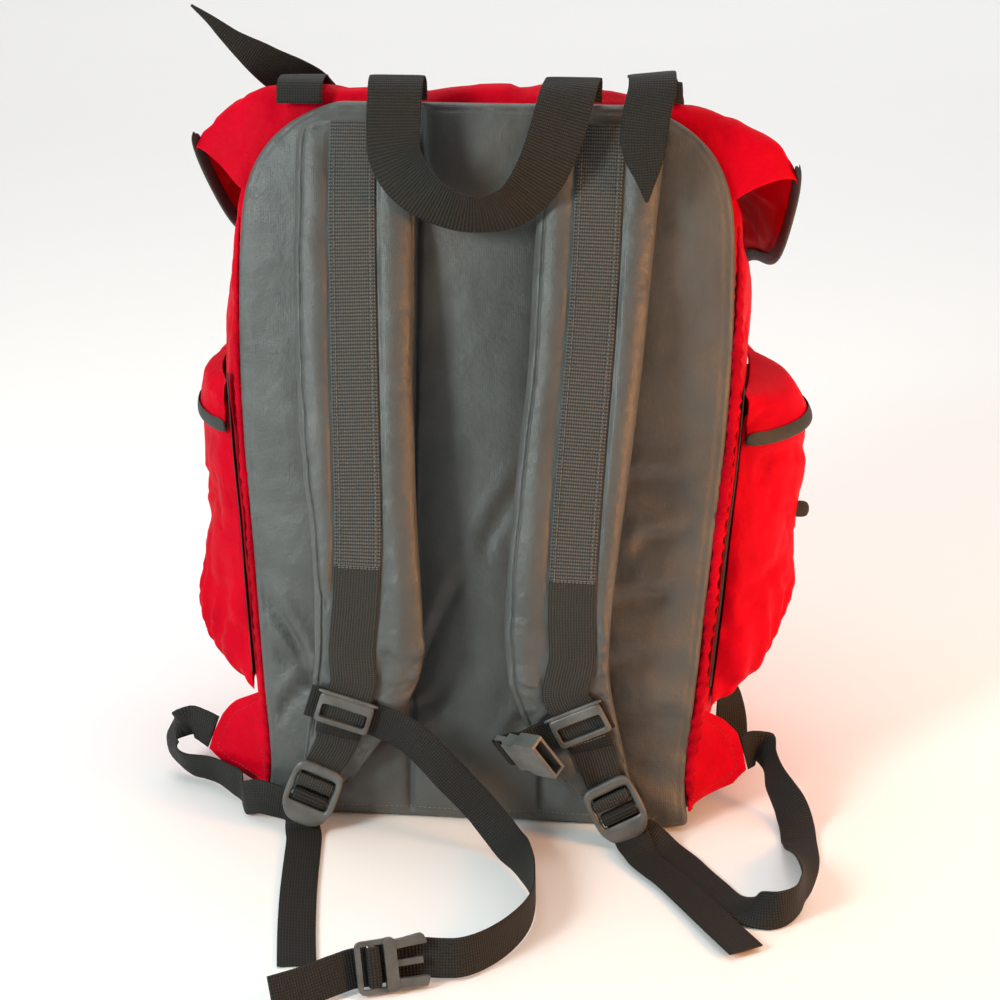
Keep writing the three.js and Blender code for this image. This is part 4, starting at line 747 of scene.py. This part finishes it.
# Cloth shells
def cloth(node, look, slot, levels, axis, folds, seed, simple=False):
    """A finer shell whose two faces share one field of folds; axis gives where each point swells from."""
    obj = refined(node, node + "_cloth", look, levels, simple=simple)
    p = coords(obj.data)
    away = p - axis(p)
    away /= np.maximum(np.linalg.norm(away, axis=1), 1e-6)[:, None]
    free = smoothstep(room(p, node, EASE + 0.001), SEATED, EASE)
    displace(obj, away * (folds(p, seed) * free)[:, None])
    return obj


def straight(point):
    return lambda p: np.broadcast_to(np.array(point), p.shape)


def upright(x, y):
    return lambda p: np.stack((np.full(len(p), x), np.full(len(p), y), p[:, 2]), axis=1)


def bag_folds(p, seed):
    big = 0.0070 * value_noise(p, (8, 8, 6), 2, seed)
    return big - 0.0060 * ridges(p, (12, 12, 15), seed + 5) + 0.0010 * value_noise(p, 55, 2, seed + 9)


def lid_folds(p, seed):
    big = 0.0052 * value_noise(p, (13, 15, 13), 2, seed)
    return big - 0.0052 * ridges(p, (19, 15, 15), seed + 5) + 0.0008 * value_noise(p, 60, 2, seed + 9)


def wing_folds(p, seed):
    return 0.0024 * value_noise(p, (15, 15, 19), 2, seed) - 0.0016 * ridges(p, (20, 15, 24), seed + 5)


def pocket_folds(p, seed):
    big = 0.0065 * value_noise(p, (9, 13, 11), 2, seed)
    low = 1 - smoothstep(p[:, 2], 0.12, 0.19)
    gathers = 0.0020 * low * np.sin(p[:, 1] * 2 * math.pi / 0.019 + 3 * value_noise(p, 18, 1, seed))
    fine = 0.0009 * value_noise(p, 50, 2, seed + 9)
    return big - 0.0075 * ridges(p, (13, 14, 19), seed + 5) + gathers + fine


def dress_wing(side, sign, seed):
    """A corner wing: its root is drawn in behind the panel's edge and its hem is stitched."""
    middle = straight((sign * 0.18, 0.3, 0.04))
    wing = cloth("corner_wing_" + side, RED, "red_cloth", 4, middle, wing_folds, seed, True)
    q = to_panel(coords(wing.data))
    out = np.abs(q[:, 0])
    levels = np.linspace(q[:, 1].min(), q[:, 1].max(), 25)
    bands = [np.abs(q[:, 1] - v) < 0.004 for v in levels]
    nearest = [out[band].min() for band in bands]
    depths = [q[band & (out < r + 0.003), 2].mean() for band, r in zip(bands, nearest)]
    root, depth = (np.interp(q[:, 1], levels, values) for values in (nearest, depths))
    tuck = 1 - smoothstep(out - root, 0.0, 0.024)
    edge = np.array([panel_edge(sign, v) for v in q[:, 1]])
    shift = np.stack((-sign * tuck * (root - edge - 0.0005), 0 * tuck, tuck * (0.0016 - depth)), axis=1)
    displace(wing, shift @ np.stack((np.array((1, 0, 0)), UPWARD, FORWARD)))
    q = to_panel(coords(wing.data))
    middle = q[:, :2].mean(axis=0)
    ring = outline(q, 40)[0]
    hem = np.array([c + (middle - c) / np.linalg.norm(middle - c) * 0.0075 for c in ring])
    outer = hem[(sign * (hem[:, 0] - middle[0]) > -0.004) | (hem[:, 1] < middle[1] - 0.018)]
    lay_stitches(wing, outer[::2], "red")


cloth("main_bag", RED, "red_cloth", 3, upright(0, 0.1), bag_folds, 2.0)
cloth("base_tray", BLACK, "black_cloth", 3, straight((0, 0.06, 0.15)), bag_folds, 4.0)
cloth("lid", RED, "red_cloth", 3, straight((0, 0.1, 0.3)), lid_folds, 6.0)
for side, sign in SIDES:
    seed = 20.0 + sign
    cloth("side_pocket_" + side, RED, "red_cloth", 3, upright(sign * 0.1, 0.08), pocket_folds, seed)
    cloth("pocket_flap_" + side, RED, "red_cloth", 3, upright(sign * 0.1, 0.08), pocket_folds, seed + 3)
    dress_wing(side, sign, seed + 5)
    refined("pocket_binding_" + side, "pocket_binding_" + side + "_tape", TAPE, 3)
refined("lid_binding", "lid_binding_tape", TAPE, 3)
tab = refined("pocket_tab_right", "pocket_tab_right_tape", TAPE, 3)
out = coords(tab.data)[:, 0]
displace(tab, np.array((-TAB_STRETCH, 0, 0)) * (1 - (out - out.min()) / np.ptp(out))[:, None])

# Webbing pieces
for side, past in (("left", 0.196), ("right", 0.191)):
    strap = "pad_webbing_" + side
    ribbon(strap, WEB_RIBBED, 0.00075, 12, rib=0.0001, ribs=0.0024, groove=0.0035, past=past, second=WEB_LONG)
    bar = at_height(strap, past)
    for across in (-0.78, 0.78):
        route_stitches(strap, 0.02, bar, across, lift=0.00025)
    for back in (0.0, 0.0014):
        route_stitches(strap, bar - back, bar - back, 0.86, 0.0026, 0.0019, 0.0002)
    for strap in ("lower_strap_", "lid_strap_", "front_strap_"):
        ribbon(strap + side, WEB_FINE)
    ribbon("pocket_tape_" + side, BLACK, across=6)
ribbon("haul_loop", WEB_HAUL, 0.0006, 12, rib=0.00016, ribs=0.0021)
for strap in ("side_strap_right", "chest_strap", "chest_strap_short"):
    ribbon(strap, WEB_FINE)


# Hard plastic: frames lofted from window to outline, each in the place of its CAD solid
def local_frame(node, up, face):
    """Axes and middle of a flat solid, from its faces' areas, turned towards two directions."""
    mesh = nodes[node].data
    tensor = sum(f.area * np.outer(f.normal, f.normal) for f in mesh.polygons)
    axes = np.linalg.eigh(tensor)[1].T
    z = axes[2] * math.copysign(1, axes[2] @ face)
    y = max((axes[0], axes[1]), key=lambda a: abs(a @ up))
    y = y * math.copysign(1, y @ up)
    turn = np.stack((np.cross(y, z), y, z))
    local = coords(mesh) @ turn.T
    low, high = local.min(axis=0), local.max(axis=0)
    return turn, (low + high) / 2, (high - low) / 2


def round_line(corners):
    """A closed line near its corners, with the corners cut three times."""
    pts = np.array(corners, float)
    for _ in range(3):
        nxt = np.roll(pts, -1, axis=0)
        pts = np.stack((0.75 * pts + 0.25 * nxt, 0.25 * pts + 0.75 * nxt), axis=1).reshape(-1, 2)
    return pts


def at_turns(line, middle, turns):
    """Points of a closed line round its middle at given turns."""
    rel = line - middle
    ang = np.arctan2(rel[:, 1], rel[:, 0])
    order = np.argsort(ang)
    ang, rel = ang[order], rel[order]
    ang = np.concatenate((ang - 2 * math.pi, ang, ang + 2 * math.pi))
    rad = np.tile(np.linalg.norm(rel, axis=1), 3)
    r = np.interp(turns, ang, rad)
    return middle + np.stack((r * np.cos(turns), r * np.sin(turns)), axis=1)


def mirrored(*half):
    """A closed line from the corners of its right half."""
    return [*half, *((-x, y) for x, y in half[::-1])]


def rod(name, y, half_length, half_height, half_depth, depth):
    """A rounded rod along X that thins at its ends."""
    angles = np.linspace(0, 2 * math.pi, 17)[:-1]
    high, deep = (half * np.sign(v) * np.abs(v) ** 0.6
                  for half, v in ((half_height, np.cos(angles)), (half_depth, np.sin(angles))))
    rows = []
    for s in np.linspace(-1, 1, 15):
        end = 1 - 0.45 * abs(s) ** 10
        rows.append(np.stack((np.full(16, s * half_length), y + end * high, depth + end * deep), axis=1))
    return grid_mesh(name, np.array(rows))


def frame_solid(node, place, window, edge, profile, bars, middle):
    """A ring between a window and an outline, in millimetres, with rods across it, in a node's frame."""
    name = node + "_moulded"
    turn, centre, _ = place
    corner_turns = [math.atan2(y - middle[1], x - middle[0]) for x, y in window]
    turns = np.unique(np.concatenate((np.linspace(-math.pi, math.pi, 97)[:-1], corner_turns)))
    inner = at_turns(round_line(window), np.array(middle), turns)
    outer = at_turns(round_line(edge), np.array(middle), turns)
    rows = np.zeros((len(turns) + 1, len(profile), 3))
    for j, (share, z) in enumerate(profile):
        rows[:-1, j, :2] = inner + (outer - inner) * share
        rows[:-1, j, 2] = z
    rows[-1] = rows[0]
    parts = [grid_mesh(name, rows, caps=False)]
    parts += [rod(name, *bar) for bar in bars]
    bm = bmesh.new()
    for part in parts:
        bm.from_mesh(part)
    bmesh.ops.remove_doubles(bm, verts=bm.verts, dist=0.001)
    bmesh.ops.recalc_face_normals(bm, faces=bm.faces)
    mesh = parts[0]
    bm.to_mesh(mesh)
    bm.free()
    set_coords(mesh, (coords(mesh) * MM + centre) @ turn)
    obj = add_object(name, mesh, PLASTIC)
    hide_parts(node)
    return obj


# A frame's section as shares of the way from window to outline, and heights in millimetres
LOCK_PROFILE = [(0, -2.4), (0, 1.2), (0.06, 1.9), (0.3, 2.45), (0.62, 2.75), (0.86, 2.5), (0.97, 1.7), (1, 0.4),
                (0.99, -1.2), (0.92, -2.5), (0.6, -2.8), (0.1, -2.7)]
SLIDER_PROFILE = [(0, -1.6), (0, 1.3), (0.08, 1.7), (0.24, 1.7), (0.34, 1.25), (0.8, 1.2), (0.95, 0.7),
                  (1, -0.2), (0.98, -1.2), (0.85, -1.7), (0.15, -1.7)]
LOCK_RIM = 4.4
SLIDER_HALF_WIDTH = 19.6
SLIDER_LIP = 2.3  # the frame stops this far below the bar at the slider's upper edge
WINDOW = (16.4, 5.7)  # half width and half height of a slider's window
LID_UP, LID_FACE = np.array((0, 1, 0.3)), np.array((0, 0.3, 1))
for node, up, face in (("ladder_lock_left", UPWARD, FORWARD), ("ladder_lock_right", UPWARD, FORWARD),
                       ("lid_lock_left", LID_UP, LID_FACE), ("lid_lock_right", LID_UP, LID_FACE)):
    place = local_frame(node, up, face)
    w = 1000 * place[2][0]
    edge = mirrored((0.30 * w, 22.5), (0.78 * w, 22.2), (0.97 * w, 17.5), (w, 8), (1.02 * w, -2),
                    (0.97 * w, -11), (0.74 * w, -19), (0.40 * w, -22.9))
    wide = w - LOCK_RIM
    window = mirrored((0.5 * wide, 15.2), (0.93 * wide, 15.1), (wide, 13.2), (wide, 5), (wide, -4),
                      (wide, -7.2), (0.93 * wide, -8.2), (0.4 * wide, -8.2))
    bars = [(y, w - 2.5, 2.0, 1.3, 0.0) for y in (9.0, -2.5)]
    frame_solid(node, place, window, edge, LOCK_PROFILE, bars, (0, 4))
for node in ("slider_left", "slider_right"):
    place = local_frame(node, UPWARD, FORWARD)
    half = 1000 * place[2][1]
    low, high = -half, half - SLIDER_LIP
    mid, wide = (low + high) / 2, SLIDER_HALF_WIDTH
    edge = mirrored((0.4 * wide, high), (0.93 * wide, high), (wide, high - 1.5), (wide, mid + 3),
                    (wide, mid - 3), (wide, low + 1.5), (0.93 * wide, low), (0.4 * wide, low))
    shut = mid - 1.38
    far, tall = WINDOW
    window = mirrored((8, shut + tall), (far - 1, shut + tall), (far, shut + tall - 1.1), (far, shut + 1.5),
                      (far, shut - 1.5), (far, shut - tall + 1.1), (far - 1, shut - tall), (8, shut - tall))
    frame_solid(node, place, window, edge, SLIDER_PROFILE, [(high + 1.0, 21.6, 1.25, 1.1, -0.5)], (0, shut))
for node in ("chest_buckle_male", "chest_buckle_female"):
    obj = nodes[node]
    obj.data.materials.clear()
    obj.data.materials.append(PLASTIC)
    weld = obj.modifiers.new("weld", "WELD")
    weld.merge_threshold = 1e-5
    bevel = obj.modifiers.new("bevel", "BEVEL")
    bevel.width = 0.0009
    bevel.segments = 3
    bevel.limit_method = "ANGLE"
    bevel.angle_limit = math.radians(35)
    bevel.harden_normals = True

# Sewn folds and bars on the webbing beside the locks
for side, near, far in (("left", 0.083, 0.073), ("right", 0.080, 0.070)):
    strap = "pad_webbing_" + side
    start, end = at_height(strap, near), at_height(strap, far)
    fold_bar("pad_webbing_fold_" + side, strap, start, end, WEB_FINE)
    route_stitches(strap, start + 0.002, start + 0.002, 0.85, 0.0024, 0.0018, 0.0013)
fold_bar("chest_strap_fold", "chest_strap", 0.026, 0.035, WEB_FINE)
for at in (0.028, 0.0325):
    route_stitches("chest_strap", at, at, 0.85, 0.0022, 0.0017, 0.0013)

# Gathered red edge of the bag beside the panel
for side, sign in SIDES:
    low, high = PIPING_SPAN
    thick = PIPING_RADIUS[side]
    rows = []
    for height in np.linspace(low, high, 430):
        wander = 2.5 * noise.noise(Vector((height * 60, sign, 0)))
        pull = 1 + 0.17 * math.sin(height / 0.0105 * 2 * math.pi + wander)
        pull *= 0.95 + 0.3 * noise.noise(Vector((height * 35, 3 * sign, 1)))
        taper = min(1, (height - low) / 0.02, (high - height) / 0.08)
        r = thick * pull * (0.2 + 0.8 * max(0, taper))
        far = panel_edge(sign, height) + 0.7 * thick
        rows.append([from_panel(sign * (far + r * math.cos(a)), height, 0.0022 + r * math.sin(a))
                     for a in np.linspace(0, 2 * math.pi, 15)[:-1]])
    name = "panel_piping_" + side
    # Its red is darkened with painted shade.
    add_object(name, grid_mesh(name, np.array(rows)), RED_SHADED_EDGE)

# Studio: pale floor, cool light from the left and warm light from the right
floor_mesh = bpy.data.meshes.new("floor")
corners = [(x, y, -0.0004) for x, y in ((-15, -15), (15, -15), (15, 15), (-15, 15))]
floor_mesh.from_pydata(corners, [], [(0, 1, 2, 3)])
floor = bpy.data.objects.new("floor", floor_mesh)
bpy.context.scene.collection.objects.link(floor)
floor_look, tree, shader = material("pale_floor", (0.93, 0.93, 0.92), 0.8, 0.0, 0.2)
n = Nodes(tree)
paleness = n.ramp(n.noise(n.coords(), 0.6, 2), [(0.2, (0.92, 0.92, 0.91)), (0.8, (0.94, 0.94, 0.93))])
n.link(paleness, shader.inputs["Base Color"])
floor_mesh.materials.append(floor_look)


def area_light(name, place, size, power, color, aim=(0, 0, 0.25)):
    data = bpy.data.lights.new(name, "AREA")
    data.shape = "RECTANGLE"
    data.size, data.size_y = size
    data.energy = power
    data.color = color
    lamp = bpy.data.objects.new(name, data)
    bpy.context.scene.collection.objects.link(lamp)
    lamp.location = place
    lamp.rotation_euler = (Vector(aim) - lamp.location).to_track_quat("-Z", "Y").to_euler()


area_light("cool_window", (-1.18, -1.22, 0.95), (0.45, 0.7), 24, (0.91, 1.0, 0.98))
area_light("warm_lamp", (1.05, -0.46, 0.42), (0.28, 0.5), 11, (1.0, 0.38, 0.08))
area_light("top", (0.0, 0.35, 2.2), (1.8, 1.8), 20, (1.0, 0.99, 0.97))
for name, x, y, power in (("far", 0, 5.5, 270), ("near", 0, -7.5, 70), ("left", -6.5, 0.5, 130),
                          ("right", 6.5, 0.5, 135)):
    area_light(name + "_floor", (x, y, 3.8), (8.0, 8.0), power, (1.0, 0.99, 0.98), (x, y, 0))
world = bpy.data.worlds.new("studio")
bpy.context.scene.world = world
world.use_nodes = True
background = world.node_tree.nodes["Background"]
background.inputs["Color"].default_value = (0.93, 0.96, 1.0, 1)
background.inputs["Strength"].default_value = 0.1

make_stitches("stitching_dark", "dark", THREAD)
make_stitches("stitching_red", "red", RED_THREAD)
